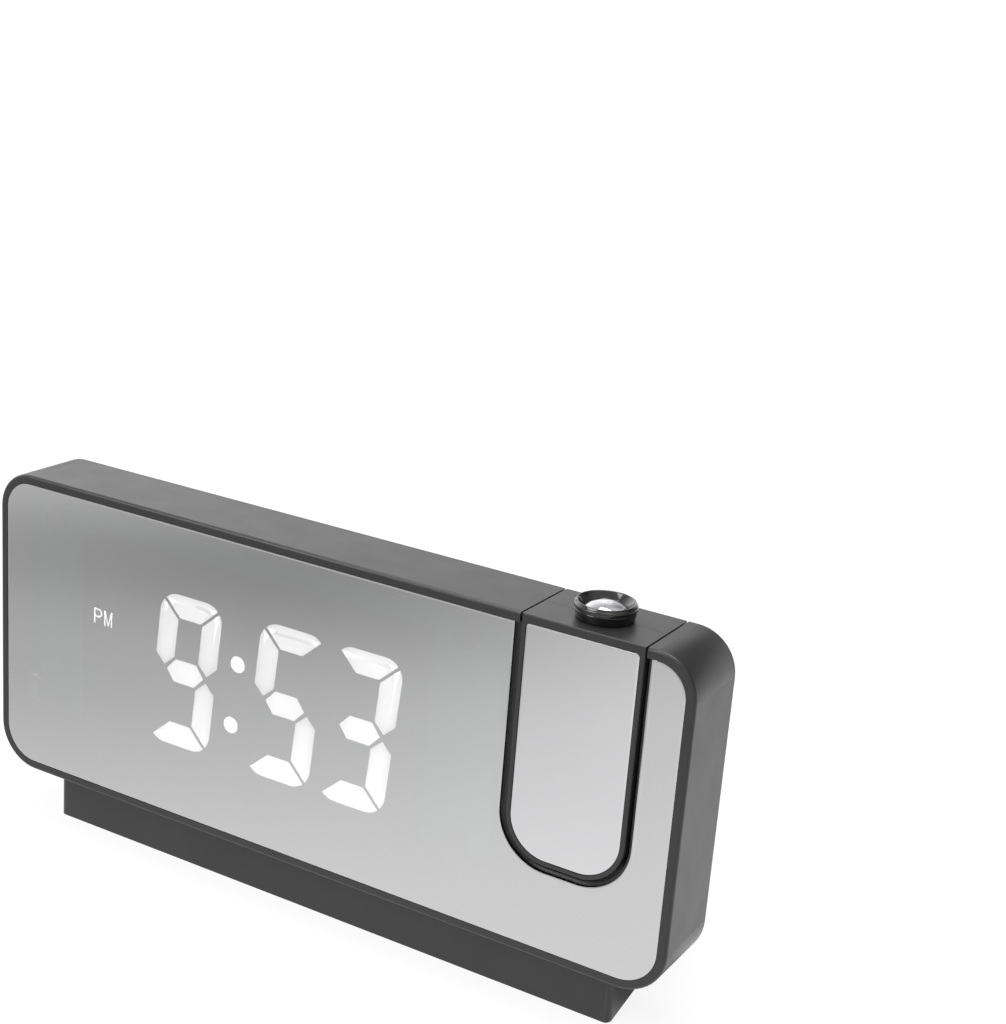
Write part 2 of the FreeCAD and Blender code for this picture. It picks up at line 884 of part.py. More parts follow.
def make_contact_minus():
    """The flat spring on the well's floor, under the cell."""
    floor = holder_back + holder_floor
    reach = cell_radius * contact_reach
    strip = block(battery_x - reach, battery_x + reach, floor, floor + contact_thickness,
                  battery_height - contact_width / 2, battery_height + contact_width / 2)
    disc = along_w(contact_width, floor, floor + contact_thickness, battery_x, battery_height)
    return leaned(fused([strip, disc]))


def make_contact_plus():
    """The upright spring beside the cell's rim."""
    x = battery_x + cell_radius + cell_gap / 2
    floor = holder_back + holder_floor
    half = contact_thickness / 2
    return leaned(block(x - half, x + half, floor + contact_thickness + seam_gap, floor + cell_thickness,
                        battery_height - contact_width / 4, battery_height + contact_width / 4))


def make_cell():
    """The backup coin cell, a can with a slightly smaller lid."""
    back = holder_back + holder_floor + contact_thickness
    lid = cell_radius - cell_lid_inset
    can = cell_radius - cell_can_inset
    return leaned(w_turned([
        (0, back), (lid, back), (lid, back + cell_lid_height), (can, back + 2 * cell_lid_height),
        (can, back + cell_thickness), (0, back + cell_thickness),
    ], battery_x, battery_height))


def make_battery_cover():
    """The round bayonet cover with a coin slot and three lugs behind the rear cover."""
    front = body_depth - battery_cover_recess
    lug_top = cover_front - battery_lug_clearance
    cover = w_turned([
        (0, battery_lug_back), (battery_core_radius, battery_lug_back),
        (battery_core_radius, battery_cover_back), (battery_cover_radius, battery_cover_back),
        (battery_cover_radius, front - battery_cover_edge), (battery_cover_radius - battery_cover_edge, front),
        (0, front),
    ], battery_x, battery_height)
    lugs = [lug_bar(battery_lug_reach, battery_lug_back, lug_top, angle, battery_lug_width)
            for angle in battery_lug_angles]
    cover = fused([cover] + lugs)
    slot = stadium(battery_x, battery_height, coin_slot_width, coin_slot_length,
                   front - coin_slot_depth, front + past)
    return leaned(cover.cut(slot))


def make_label():
    """The round paper label on the rear cover."""
    return leaned(along_w(label_radius, body_depth, body_depth + label_thickness, label_x, label_height))


# Display

def corner_arc(start, end):
    """(x, v) points round a digit's top right corner, in degrees from straight up."""
    points = []
    for step in range(4):
        angle = math.radians(start + (end - start) * step / 3)
        x = digit_half_width - digit_corner_radius + digit_corner_radius * math.sin(angle)
        v = digit_half_height - digit_corner_radius + digit_corner_radius * math.cos(angle)
        points.append((x, v))
    return points


def mirrored(points, across, up):
    """The points reflected across either axis of a digit."""
    return [(x * across, v * up) for x, v in points]


def segment_outlines():
    """Outlines of the seven segments of an upright digit about its centre."""
    inner_x = digit_half_width - segment_width
    inner_v = digit_half_height - segment_height
    mitre = segment_mitre_gap / math.sqrt(2)
    half = segment_height / 2
    right_top = corner_arc(0, 45)
    left_top = [(-x, v) for x, v in reversed(right_top)]
    top = left_top + right_top + [(inner_x - mitre, inner_v), (-inner_x + mitre, inner_v)]
    side_arc = corner_arc(53, 90)
    tip_x = digit_half_width - segment_width / 2
    upper_right = side_arc + [
        (digit_half_width, half + mitre), (tip_x, mitre * 1.6), (inner_x, half + mitre),
        (inner_x, inner_v - mitre),
    ]
    middle = [
        (tip_x - mitre * 1.6, 0), (inner_x - mitre, half), (-inner_x + mitre, half),
        (-tip_x + mitre * 1.6, 0), (-inner_x + mitre, -half), (inner_x - mitre, -half),
    ]
    return {
        "a": top,
        "b": upper_right,
        "c": mirrored(upper_right, 1, -1),
        "d": mirrored(top, 1, -1),
        "e": mirrored(upper_right, -1, -1),
        "f": mirrored(upper_right, -1, 1),
        "g": middle,
    }


def slanted(points, centre_x):
    """Digit points moved to their place on the face, leaning to the right."""
    return [(centre_x + x + v * digit_slant, digit_centre_height + v) for x, v in points]


def shown_digits():
    """(centre x, lit segments) of the three lit digits."""
    return (
        (digit_nine_x, "abcdfg"),
        (digit_five_x, "acdfg"),
        (digit_three_x, "abcdg"),
    )


def grown(points, margin):
    """An outline pushed outwards from its middle by a margin."""
    cx = sum(x for x, v in points) / len(points)
    cv = sum(v for x, v in points) / len(points)
    result = []
    for x, v in points:
        reach = math.hypot(x - cx, v - cv)
        result.append((x + (x - cx) / reach * margin, v + (v - cv) / reach * margin))
    return result


def lit_outlines():
    """Face outlines of every lit segment."""
    outlines = []
    shapes = segment_outlines()
    for centre_x, letters in shown_digits():
        outlines += [slanted(shapes[letter], centre_x) for letter in letters]
    return outlines


def colon_places():
    """(x, v) of the two colon dots, on the digits' slant."""
    middle = (colon_upper_height + colon_lower_height) / 2
    return [(colon_x + (v - middle) * digit_slant, v) for v in (colon_upper_height, colon_lower_height)]


def letter_solids(w0, w1):
    """The P and M of the afternoon sign."""
    low = letter_bottom
    high = letter_bottom + letter_height
    s = letter_stroke
    left = letter_left
    right = letter_left + letter_width
    bowl_low = low + letter_height * 0.42
    bowl_radius = letter_width * 0.36
    stem = block(left, left + s, w0, w1, low, high)
    bowl = rounded_slab(left, right, bowl_low, high, w0, w1,
                        (bowl_radius, 0, 0, bowl_radius))
    hole = rounded_slab(left + s, right - s, bowl_low + s, high - s, w0 - past, w1 + past,
                        (bowl_radius - s, 0, 0, bowl_radius - s))
    letter_p = fused([stem, bowl.cut(hole)])
    left = right + letter_space
    right = left + letter_width
    middle = (left + right) / 2
    legs = [block(left, left + s, w0, w1, low, high), block(right - s, right, w0, w1, low, high)]
    for outer, side in ((left, 1), (right, -1)):
        legs.append(prism([
            (outer, high), (outer + side * s * 1.2, high), (middle + side * s * 0.1, low + s * 1.8),
            (middle - side * s * 0.45, low + s * 0.7),
        ], w0, w1))
    return [letter_p, fused(legs)]


light_front = display_frame_front + 0.1
light_back = light_front + light_depth


def make_digit_lights():
    """The lit bars of the three digits."""
    return leaned(group([prism(points, light_front, light_back) for points in lit_outlines()]))


def make_colon_lights():
    """The two round dots between hours and minutes."""
    return leaned(group([along_w(colon_radius, light_front, light_back, x, v) for x, v in colon_places()]))


def make_sign_light():
    """The small afternoon sign."""
    return leaned(group(letter_solids(light_front, light_back)))


def make_display_frame():
    """The dark block whose shaped wells hold the lights."""
    back = display_frame_front + display_frame_depth
    frame = block(display_left, display_right, display_frame_front, back, display_bottom, display_top)
    wells = []
    for points in lit_outlines():
        wells.append(prism(grown(points, light_gap * 2), light_front - past, back + past))
    shapes = segment_outlines()
    for letter in "bc":
        floor = display_frame_front + display_well_floor
        wells.append(prism(slanted(shapes[letter], digit_one_x), floor, back + past))
    for x, v in colon_places():
        wells.append(along_w(colon_radius + light_gap, light_front - past, back + past, x, v))
    sign_right = letter_left + 2 * letter_width + letter_space
    wells.append(block(letter_left - light_gap, sign_right + light_gap, light_front - past, back + past,
                       letter_bottom - light_gap, letter_bottom + letter_height + light_gap))
    return leaned(frame.cut(group(wells)))


def make_display_board():
    """The board behind the digits that carries the light chips and the power socket."""
    board = rounded_slab(display_board_left, display_board_right, display_board_bottom, display_board_top,
                         display_board_front, board_back, (display_board_corner,) * 4)
    for x, v in board_posts():
        board = board.cut(along_w(board_screw_radius + screw_clearance, display_board_front - past,
                                  board_back + past, x, v))
    return leaned(board)


def make_board_screws():
    """The screws that hold the display board to the housing."""
    screws = []
    for x, v in board_posts():
        screws.append(screw(board_screw_radius, board_thickness + board_screw_bite, board_screw_head_radius,
                            board_screw_head_height, Vector(x, board_back, v), Vector(0, -1, 0)))
    return leaned(group(screws))


def make_light_chips():
    """One small light chip behind each lit bar and dot."""
    half = chip_size / 2
    chips = []
    places = colon_places()
    places.append((letter_left + letter_width + letter_space / 2, letter_bottom + letter_height / 2))
    for points in lit_outlines():
        places.append((sum(x for x, v in points) / len(points), sum(v for x, v in points) / len(points)))
    for x, v in places:
        chips.append(block(x - half, x + half, display_board_front - chip_height, display_board_front,
                           v - half, v + half))
    return leaned(group(chips))


# Power socket

def make_port_shell():
    """The metal shell of the power socket."""
    x0 = -half_width + port_shell_recess
    x1 = x0 + port_shell_depth
    outer = port_opening(x0, x1, port_shell_length, port_shell_width)
    inner = port_opening(x0 - past, x1 - 1.0, port_shell_length - 2 * port_shell_wall,
                         port_shell_width - 2 * port_shell_wall)
    return leaned(outer.cut(inner))


def make_port_tongue():
    """The thin tongue inside the power socket."""
    x0 = -half_width + port_shell_recess + port_tongue_recess
    x1 = -half_width + port_shell_recess + port_shell_depth - 1.0
    half_t = port_tongue_thickness / 2
    half_l = port_tongue_length / 2
    return leaned(block(x0, x1, port_depth - half_t, port_depth + half_t,
                        port_height - half_l, port_height + half_l))


# Foot

def foot_outline():
    """World (y, z) corners of the foot: joint and heel at the floor, heel and joint at the top."""
    joint = body_depth + seam_gap
    heel = base_depth / 2
    return [
        (plane_y(joint, 0), 0), (heel, 0), (heel + foot_heel_slope, foot_heel_height),
        body_point(joint, foot_top_height),
    ]


def foot_hollow():
    """The room inside the foot, open towards the plinth."""
    (joint_low, _), (heel, _), (brow_y, brow_z), (top_y, top_z) = foot_outline()
    slope = (top_z - brow_z) / (brow_y - top_y)
    drop = base_wall * math.hypot(1, slope)
    front = joint_low - base_wall
    rear = heel - base_wall
    return world_prism([
        (front, base_wall), (rear, base_wall),
        (rear, top_z - drop - (rear - top_y) * slope), (front, top_z - drop - (front - top_y) * slope),
    ], base_length - 2 * base_wall)


def make_foot():
    """The hollow wedge screwed on behind, which closes the plinth."""
    outline = foot_outline()
    joint_low = outline[0][0]
    heel = outline[1][0]
    outer = world_prism(outline, base_length)
    brow = []
    for edge in outer.Edges:
        if edge.BoundBox.XLength > 1 and abs(edge.BoundBox.ZMin - foot_heel_height) < seam_gap:
            brow.append(edge)
    outer = outer.makeFillet(foot_edge_radius, brow)
    uprights = []
    for edge in outer.Edges:
        box = edge.BoundBox
        if box.XLength < seam_gap and box.ZLength > foot_edge_radius and box.YMin > heel - seam_gap:
            uprights.append(edge)
    shell = outer.makeFillet(foot_corner_radius, uprights).cut(foot_hollow())
    front = plane_y(body_depth + seam_gap, foot_screw_height) + seam_gap / 2
    for seat in foot_screw_seats():
        start = Vector(seat.x, front, seat.z)
        boss = Part.makeCylinder(foot_screw_boss / 2, heel - base_wall / 2 - front, start, Vector(0, 1, 0))
        shell = shell.fuse(boss)
    behind = [(joint_low, 0), (far, 0), (far, far), (joint_low + far * math.tan(lean), far)]
    shell = shell.common(world_prism(behind, base_length + 2 * past))
    for seat in foot_screw_seats():
        shell = shell.cut(Part.makeCylinder(foot_screw_recess / 2, far, seat, Vector(0, 1, 0)))
        shank_hole = foot_screw_shank / 2 + screw_clearance
        shell = shell.cut(Part.makeCylinder(shank_hole, far, seat, Vector(0, -1, 0)))
    return shell.removeSplitter()


def make_foot_screws():
    """The two screws that hold the foot to the plinth."""
    screws = []
    for seat in foot_screw_seats():
        screws.append(screw(foot_screw_shank / 2, foot_screw_length, foot_screw_head / 2,
                            foot_screw_head_height, seat, Vector(0, -1, 0)))
    return group(screws)


# Projector arm

def arm_block(w0, w1):
    """The arm's outer block between two depths, with its front edge rounded."""
    slab = arm_slab(0, 0, body_depth, body_height)
    rim = [edge for edge in slab.Edges if edge.BoundBox.YMax < 0.001]
    slab = slab.makeFillet(front_edge_radius / 2, rim)
    return slab.common(block(-far, far, w0, w1, -far, far))


def arm_hollow(w0, w1):
    """The arm's inner room between two depths."""
    bottom = arm_corner_radius - arm_wall
    return rounded_slab(arm_left + arm_wall, arm_right - arm_wall, arm_bottom_height + arm_wall,
                        body_height - arm_wall, w0, w1, (0.5, 0.5, bottom, bottom))


def arm_bores():
    """The pivot bores and the top opening, shared by both halves of the arm."""
    sleeve = along_x(sleeve_radius + running_gap, arm_left - past, arm_left + hub_length + past,
                     mid_depth, pivot_height)
    pin = along_x(pin_radius, arm_right - hub_length - past, arm_right + past, mid_depth, pivot_height)
    top = along_v(ring_stem_radius + ring_stem_gap, body_height - arm_wall - ring_stem_length,
                  body_height + past, arm_centre_x, mid_depth)
    return [sleeve, pin, top]


def arm_hubs():
    """The two thick rings round the pivot, inside the arm."""
    left = along_x(hub_radius, arm_left + arm_wall / 2, arm_left + hub_length, mid_depth, pivot_height)
    right = along_x(hub_radius, arm_right - hub_length, arm_right - arm_wall / 2, mid_depth, pivot_height)
    return [left, right]


def make_arm_shell(w0, w1, hollow0, hollow1):
    """One half of the arm between two depths."""
    half = arm_block(w0, w1).cut(arm_hollow(hollow0, hollow1))
    keep = block(-far, far, w0, w1, -far, far)
    half = fused([half] + [hub.common(keep) for hub in arm_hubs()])
    for bore in arm_bores():
        half = half.cut(bore)
    return half


def arm_mirror_slab(shrink, w0, w1):
    """The arm's mirror outline, drawn in by a margin."""
    border = arm_mirror_border + shrink
    bottom = arm_mirror_radius - shrink
    top = arm_mirror_top_radius - shrink
    return rounded_slab(arm_left + border, arm_right - border, arm_bottom_height + border,
                        body_height - arm_mirror_top_border - shrink, w0, w1, (top, top, bottom, bottom))


def make_arm_front():
    """The front half of the arm, with the recess for its mirror."""
    shell = make_arm_shell(0, mid_depth, arm_mirror_thickness + arm_wall, mid_depth + past)
    return leaned(shell.cut(arm_mirror_slab(0, -past, arm_mirror_thickness + panel_gap)))


def make_arm_rear():
    """The rear half of the arm."""
    front = mid_depth + seam_gap / 2
    return leaned(make_arm_shell(front, body_depth, front - past, body_depth - arm_wall))


def make_arm_mirror():
    """The mirror inlay on the arm's front."""
    return leaned(arm_mirror_slab(panel_gap, panel_gap, arm_mirror_thickness + panel_gap))


def make_pivot_sleeve():
    """The hollow sleeve in the trough's inner wall that the arm turns on."""
    wall = arm_left - slot_lip
    x0 = wall - sleeve_flange_thickness
    flange = along_x(sleeve_flange_radius, x0, wall, mid_depth, pivot_height)
    body = along_x(sleeve_radius, x0, arm_left + hub_length, mid_depth, pivot_height)
    bore = along_x(sleeve_bore_radius, x0 - past, arm_left + hub_length + past, mid_depth, pivot_height)
    return leaned(fused([flange, body]).cut(bore))


def make_pivot_pin():
    """The headed pin that turns with the arm in the trough's outer wall."""
    wall = arm_right + slot_lip
    inside = arm_right - hub_length
    head = along_x(pin_head_radius, inside - pin_head_thickness, inside, mid_depth, pivot_height)
    end = wall + seam_gap + washer_thickness + clip_thickness + pin_end
    return leaned(fused([head, along_x(pin_radius, inside, end, mid_depth, pivot_height)]))


def make_pivot_washer():
    """The friction washer outside the trough's wall."""
    x0 = arm_right + slot_lip + seam_gap
    disc = along_x(washer_radius, x0, x0 + washer_thickness, mid_depth, pivot_height)
    return leaned(disc.cut(along_x(pin_radius, x0 - past, x0 + 2 * past, mid_depth, pivot_height)))


def make_pivot_clip():
    """The spring clip that keeps the pin in place."""
    x0 = arm_right + slot_lip + seam_gap + washer_thickness
    disc = along_x(clip_radius, x0, x0 + clip_thickness, mid_depth, pivot_height)
    disc = disc.cut(along_x(pin_radius, x0 - past, x0 + 2 * past, mid_depth, pivot_height))
    mouth = block(x0 - past, x0 + 2 * past, mid_depth - pin_radius * 0.8, mid_depth + pin_radius * 0.8,
                  pivot_height, pivot_height + clip_radius + past)
    return leaned(disc.cut(mouth))


def make_arm_cable():
    """The short lead that passes through the hollow sleeve."""
    return leaned(along_x(arm_cable_radius, arm_left - arm_cable_reach, arm_left + arm_cable_reach,
                          mid_depth, pivot_height))


# Projector optics

def make_focus_ring():
    """The grooved focus ring that stands on the arm, with its funnel and stem."""
    base = body_height + seam_gap
    top = body_height + ring_height
    bore = barrel_radius + running_gap
    edge = ring_radius
    groove_low = base + ring_band_height
    groove_high = groove_low + ring_groove_height
    catch = body_height - arm_wall - ring_catch_gap
    profile = [
        (bore, body_height - ring_stem_length), (ring_stem_radius, body_height - ring_stem_length),
        (ring_stem_radius, catch - ring_catch_thickness), (ring_catch_radius, catch - ring_catch_thickness),
        (ring_catch_radius, catch), (ring_stem_radius, catch), (ring_stem_radius, base),
        (edge - ring_edge, base), (edge, base + ring_edge), (edge, groove_low - ring_groove_depth / 2),
        (edge - ring_groove_depth, groove_low), (edge - ring_groove_depth, groove_high),
        (edge, groove_high + ring_groove_depth / 2), (edge, top - ring_edge),
        (edge - ring_edge / 2, top - ring_edge / 4), (edge - ring_edge, top),
        (ring_funnel_radius, top), (bore, top - ring_funnel_depth),
    ]
    return leaned(ring_solid(profile, arm_centre_x, mid_depth))


barrel_top = body_height + ring_height - barrel_drop


def make_lens_barrel():
    """The keyed barrel that the focus ring drives in and out, with the lens seat at its top."""
    low = barrel_top - barrel_length
    seat = barrel_top - lens_depth - lens_thickness
    profile = [
        (barrel_bore_radius, low), (barrel_radius, low), (barrel_radius, barrel_top),
        (lens_radius + 0.02, barrel_top), (lens_radius + 0.02, seat), (barrel_bore_radius, seat),
    ]
    return leaned(ring_solid(profile, arm_centre_x, mid_depth))


def lens_solid(radius, thickness, middle, bulge):
    """A lens with two curved faces about a middle height."""
    rim = thickness / 2 - bulge
    sphere_radius = (radius * radius + bulge * bulge) / (2 * bulge)
    lens = along_v(radius, middle - thickness / 2, middle + thickness / 2,
                   arm_centre_x, mid_depth)
    for side in (-1, 1):
        centre = middle + side * (rim + bulge - sphere_radius)
        lens = lens.common(Part.makeSphere(sphere_radius, Vector(arm_centre_x, mid_depth, centre)))
    return lens


def make_projection_lens():
    """The front lens, pressed into the barrel."""
    middle = barrel_top - lens_depth - lens_thickness / 2
    return leaned(lens_solid(lens_radius, lens_thickness, middle, 0.8))


def make_projector_tube():
    """The black tube that holds the slide and the condenser."""
    low = tube_top_height - tube_length
    tube = along_v(tube_radius, low, tube_top_height, arm_centre_x, mid_depth)
    tube = tube.cut(along_v(tube_bore_radius, low - past, tube_top_height + past, arm_centre_x, mid_depth))
    half = slide_size / 2 - tube_lip
    ledge = along_v(tube_bore_radius + tube_lip / 2, slide_height - tube_lip, slide_height,
                    arm_centre_x, mid_depth)
    window = block(arm_centre_x - half, arm_centre_x + half, mid_depth - half, mid_depth + half,
                   slide_height - tube_lip - past, slide_height + past)
    rest_height = condenser_height - condenser_thickness / 2
    rest = along_v(tube_bore_radius + tube_lip / 2, rest_height - tube_lip, rest_height,
                   arm_centre_x, mid_depth)
    hole = along_v(condenser_radius - tube_lip, rest_height - tube_lip - past, rest_height + past,
                   arm_centre_x, mid_depth)
    return leaned(fused([tube, ledge.cut(window), rest.cut(hole)]))


def make_image_slide():
    """The small glass screen that makes the projected picture."""
    half = slide_size / 2 - tube_lip / 2
    return leaned(block(arm_centre_x - half, arm_centre_x + half, mid_depth - half, mid_depth + half,
                        slide_height, slide_height + slide_thickness))


def make_condenser():
    """The lens that gathers the lamp's light on the slide."""
    return leaned(lens_solid(condenser_radius, condenser_thickness, condenser_height, 0.9))


def make_led_board():
    """The small board that carries the lamp, against the tube's lower end."""
    top = tube_top_height - tube_length - seam_gap
    return leaned(block(arm_centre_x - led_board_width / 2, arm_centre_x + led_board_width / 2,
                        mid_depth - led_board_depth / 2, mid_depth + led_board_depth / 2,
                        top - led_board_thickness, top))


def make_led():
    """The lamp: a square base under a small dome."""
    base = tube_top_height - tube_length - seam_gap
    half = led_size / 2
    body = block(arm_centre_x - half, arm_centre_x + half, mid_depth - half, mid_depth + half,
                 base, base + led_height / 2)
    dome = Part.makeSphere(led_dome_radius, Vector(arm_centre_x, mid_depth, base + led_height / 2))
    dome = dome.common(block(arm_centre_x - half, arm_centre_x + half, mid_depth - half, mid_depth + half,
                             base, base + led_height * 2))
    return leaned(fused([body, dome]))


def make_parts():
    """Every piece of the clock by name."""
    parts = {
        "housing": make_housing(),
        "mirror_panel": make_mirror_panel(),
        "rear_cover": make_rear_cover(),
        "cover_screws": make_cover_screws(),
        "stand_foot": make_foot(),
        "foot_screws": make_foot_screws(),
        "round_label": make_label(),
        "display_frame": make_display_frame(),
        "digit_lights": make_digit_lights(),
        "colon_lights": make_colon_lights(),
        "afternoon_sign": make_sign_light(),
        "display_board": make_display_board(),
        "display_board_screws": make_board_screws(),
        "light_chips": make_light_chips(),
        "power_socket_shell": make_port_shell(),
        "power_socket_tongue": make_port_tongue(),
        "key_board": make_key_board(),
        "key_board_screws": make_key_board_screws(),
        "push_switches": make_switches(),
        "long_pad": make_pad(),
        "speaker_gasket": make_gasket(),
        "speaker_frame": make_speaker_frame(),
        "speaker_magnet": make_magnet(),
        "speaker_cone": make_cone(),
        "battery_holder": make_battery_holder(),
        "battery_contact_minus": make_contact_minus(),
        "battery_contact_plus": make_contact_plus(),
        "coin_cell": make_cell(),
        "battery_cover": make_battery_cover(),
        "arm_front_shell": make_arm_front(),
        "arm_rear_shell": make_arm_rear(),
        "arm_mirror": make_arm_mirror(),
        "pivot_sleeve": make_pivot_sleeve(),
        "pivot_pin": make_pivot_pin(),
        "pivot_washer": make_pivot_washer(),
        "pivot_clip": make_pivot_clip(),
        "arm_cable": make_arm_cable(),
        "focus_ring": make_focus_ring(),
        "lens_barrel": make_lens_barrel(),
        "projection_lens": make_projection_lens(),
        "projector_tube": make_projector_tube(),
        "image_slide": make_image_slide(),
        "condenser_lens": make_condenser(),
        "projector_board": make_led_board(),
        "projector_led": make_led(),
    }
    for number, x in enumerate(key_places(), start=1):
        parts["key_%d" % number] = make_key(x)
    return parts


os.makedirs("parts", exist_ok=True)
for name, shape in make_parts().items():
    shape.exportStep("parts/%s.step" % name)
    box = shape.BoundBox
    print("%-24s solids %3d valid %s volume %9.2f  x %.2f %.2f  y %.2f %.2f  z %.2f %.2f" % (
        name, len(shape.Solids), shape.isValid(), shape.Volume,
        box.XMin, box.XMax, box.YMin, box.YMax, box.ZMin, box.ZMax,
    ))
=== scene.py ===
"""Looks of a leaning projection alarm clock: its studio, its finishes and the pieces that show."""
import logging
import math
from dataclasses import dataclass, field
from enum import Enum
from typing import Iterable, Sequence

import bmesh
import bpy
import numpy as np
from mathutils import Matrix, Vector


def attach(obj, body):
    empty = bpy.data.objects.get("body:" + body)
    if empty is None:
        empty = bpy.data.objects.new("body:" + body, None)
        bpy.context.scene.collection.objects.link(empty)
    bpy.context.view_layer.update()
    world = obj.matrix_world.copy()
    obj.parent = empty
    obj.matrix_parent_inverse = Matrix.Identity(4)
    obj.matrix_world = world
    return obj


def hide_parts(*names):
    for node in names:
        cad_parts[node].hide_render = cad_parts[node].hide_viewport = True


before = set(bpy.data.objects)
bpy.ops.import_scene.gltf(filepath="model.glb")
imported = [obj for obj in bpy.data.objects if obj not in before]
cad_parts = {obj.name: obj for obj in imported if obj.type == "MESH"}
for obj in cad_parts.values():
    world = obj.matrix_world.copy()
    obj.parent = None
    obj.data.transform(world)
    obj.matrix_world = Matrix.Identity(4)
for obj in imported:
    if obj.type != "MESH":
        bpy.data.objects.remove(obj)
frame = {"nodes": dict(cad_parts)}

MM = 0.001
log = logging.getLogger("clock")

Node = bpy.types.Node
Colour = tuple[float, float, float]
Place = tuple[float, float, float]
Path = Sequence[tuple[float, float]]


class Body(Enum):
    """The clock's rigid bodies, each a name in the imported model."""

    CLOCK = "clock_body"
    ARM = "projector_arm"
    RING = "focus_ring_body"
    LENS = "lens_body"
    PAD = "pad_body"
    BATTERY_COVER = "battery_cover_body"


class Across(Enum):
    """Which of the body's own axes a turned piece stands on."""

    DEPTH = "depth"
    HEIGHT = "height"


@dataclass(frozen=True)
class LeaningBody:
    """The slab body's own upright frame, leaned back: x across, w depth behind the face, v height.

    Sizes are millimetres and degrees.
    """

    lean: float = 12.4
    front_y: float = -21.3
    lift: float = 14.9
    width: float = 188.6
    height: float = 77.8
    depth: float = 19.6
    arm_x: float = 67.8
    arm_half: float = 14.4
    arm_bottom: float = 22.15
    arm_corner: float = 10.6

    def place(self, x: np.ndarray, w: np.ndarray, v: np.ndarray) -> np.ndarray:
        """Moves body points to the clock's frame.

        A point goes back by its depth and up by its height along axes tipped by the lean.

        Args:
            x: places across, in millimetres.
            w: depths behind the front face.
            v: heights up the face.

        Returns:
            An array of points in metres, three numbers each.
        """
        x, w, v = np.broadcast_arrays(np.asarray(x, float), np.asarray(w, float), np.asarray(v, float))
        tip = math.radians(self.lean)
        y = self.front_y + w * math.cos(tip) + v * math.sin(tip)
        z = self.lift - w * math.sin(tip) + v * math.cos(tip)
        return np.stack([x, y, z], axis=-1) * MM


BODY = LeaningBody()


# Finishes


@dataclass(frozen=True)
class Finish:
    """A moulded, metal or printed surface with its clouding, grain and sheen.

    Scales are features per metre; heights are metres.
    """

    name: str
    colour: Colour
    roughness: float = 0.4
    metallic: float = 0.0
    coat: float = 0.0
    coat_roughness: float = 0.1
    ior: float = 1.5
    specular: float = 0.5
    cloud_scale: float = 45.0
    cloud_spread: float = 0.12
    grain_scale: float = 5200.0
    grain_height: float = 0.000008
    rough_spread: float = 0.05

    def material(self) -> bpy.types.Material:
        """The finish as a material, made once and then shared."""
        found = bpy.data.materials.get(self.name)
        if found is not None:
            return found
        tree = Tree(self.name)
        self.fill(tree)
        return tree.material

    def fill(self, tree: "Tree") -> None:
        """Sets the shader: cloudy colour, uneven roughness and a fine grain.

        Args:
            tree: the material's empty node tree.
        """
        shader = tree.shader
        shader.inputs["Metallic"].default_value = self.metallic
        shader.inputs["IOR"].default_value = self.ior
        shader.inputs["Specular IOR Level"].default_value = self.specular
        shader.inputs["Coat Weight"].default_value = self.coat
        shader.inputs["Coat Roughness"].default_value = self.coat_roughness
        clouds = tree.noise(self.cloud_scale, 4.0)
        darker = tuple(c * (1.0 - self.cloud_spread) for c in self.colour)
        lighter = tuple(min(1.0, c * (1.0 + self.cloud_spread)) for c in self.colour)
        tree.link(tree.ramp(clouds, darker, lighter), shader.inputs["Base Color"])
        patches = tree.noise(self.cloud_scale * 3.1, 3.0)
        low = max(0.02, self.roughness - self.rough_spread)
        tree.link(tree.spread(patches, low, self.roughness + self.rough_spread), shader.inputs["Roughness"])
        grain = tree.noise(self.grain_scale, 2.0)
        tree.link(tree.bump(grain, self.grain_height), shader.inputs["Normal"])


@dataclass(frozen=True)
class HalfMirror(Finish):
    """A smoky half-silvered sheet that light behind it shines through."""

    opacity: float = 0.62

    def fill(self, tree: "Tree") -> None:
        """Adds the sheet's see-through share to the plain finish."""
        super().fill(tree)
        tree.shader.inputs["Alpha"].default_value = self.opacity


@dataclass(frozen=True)
class ClearGlass(Finish):
    """Clear polished glass with a faint coating."""

    transmission: float = 1.0

    def fill(self, tree: "Tree") -> None:
        """Adds the light that passes through to the plain finish."""
        super().fill(tree)
        tree.shader.inputs["Transmission Weight"].default_value = self.transmission


@dataclass(frozen=True)
class LitWhite(Finish):
    """A milky light whose glow is the same all over, or follows the piece's own attribute."""

    glow: float = 3.0
    edge_glow: float = 0.0
    attribute: str = ""

    def fill(self, tree: "Tree") -> None:
        """Adds the glow, shaped by the piece's own attribute where it has one."""
        super().fill(tree)
        shader = tree.shader
        shader.inputs["Emission Color"].default_value = (1.0, 1.0, 1.0, 1.0)
        if self.attribute:
            reader = tree.add("ShaderNodeAttribute")
            reader.attribute_name = self.attribute
            shaped = tree.spread(reader.outputs["Fac"], self.edge_glow, self.glow)
            tree.link(shaped, shader.inputs["Emission Strength"])
        else:
            shader.inputs["Emission Strength"].default_value = self.glow


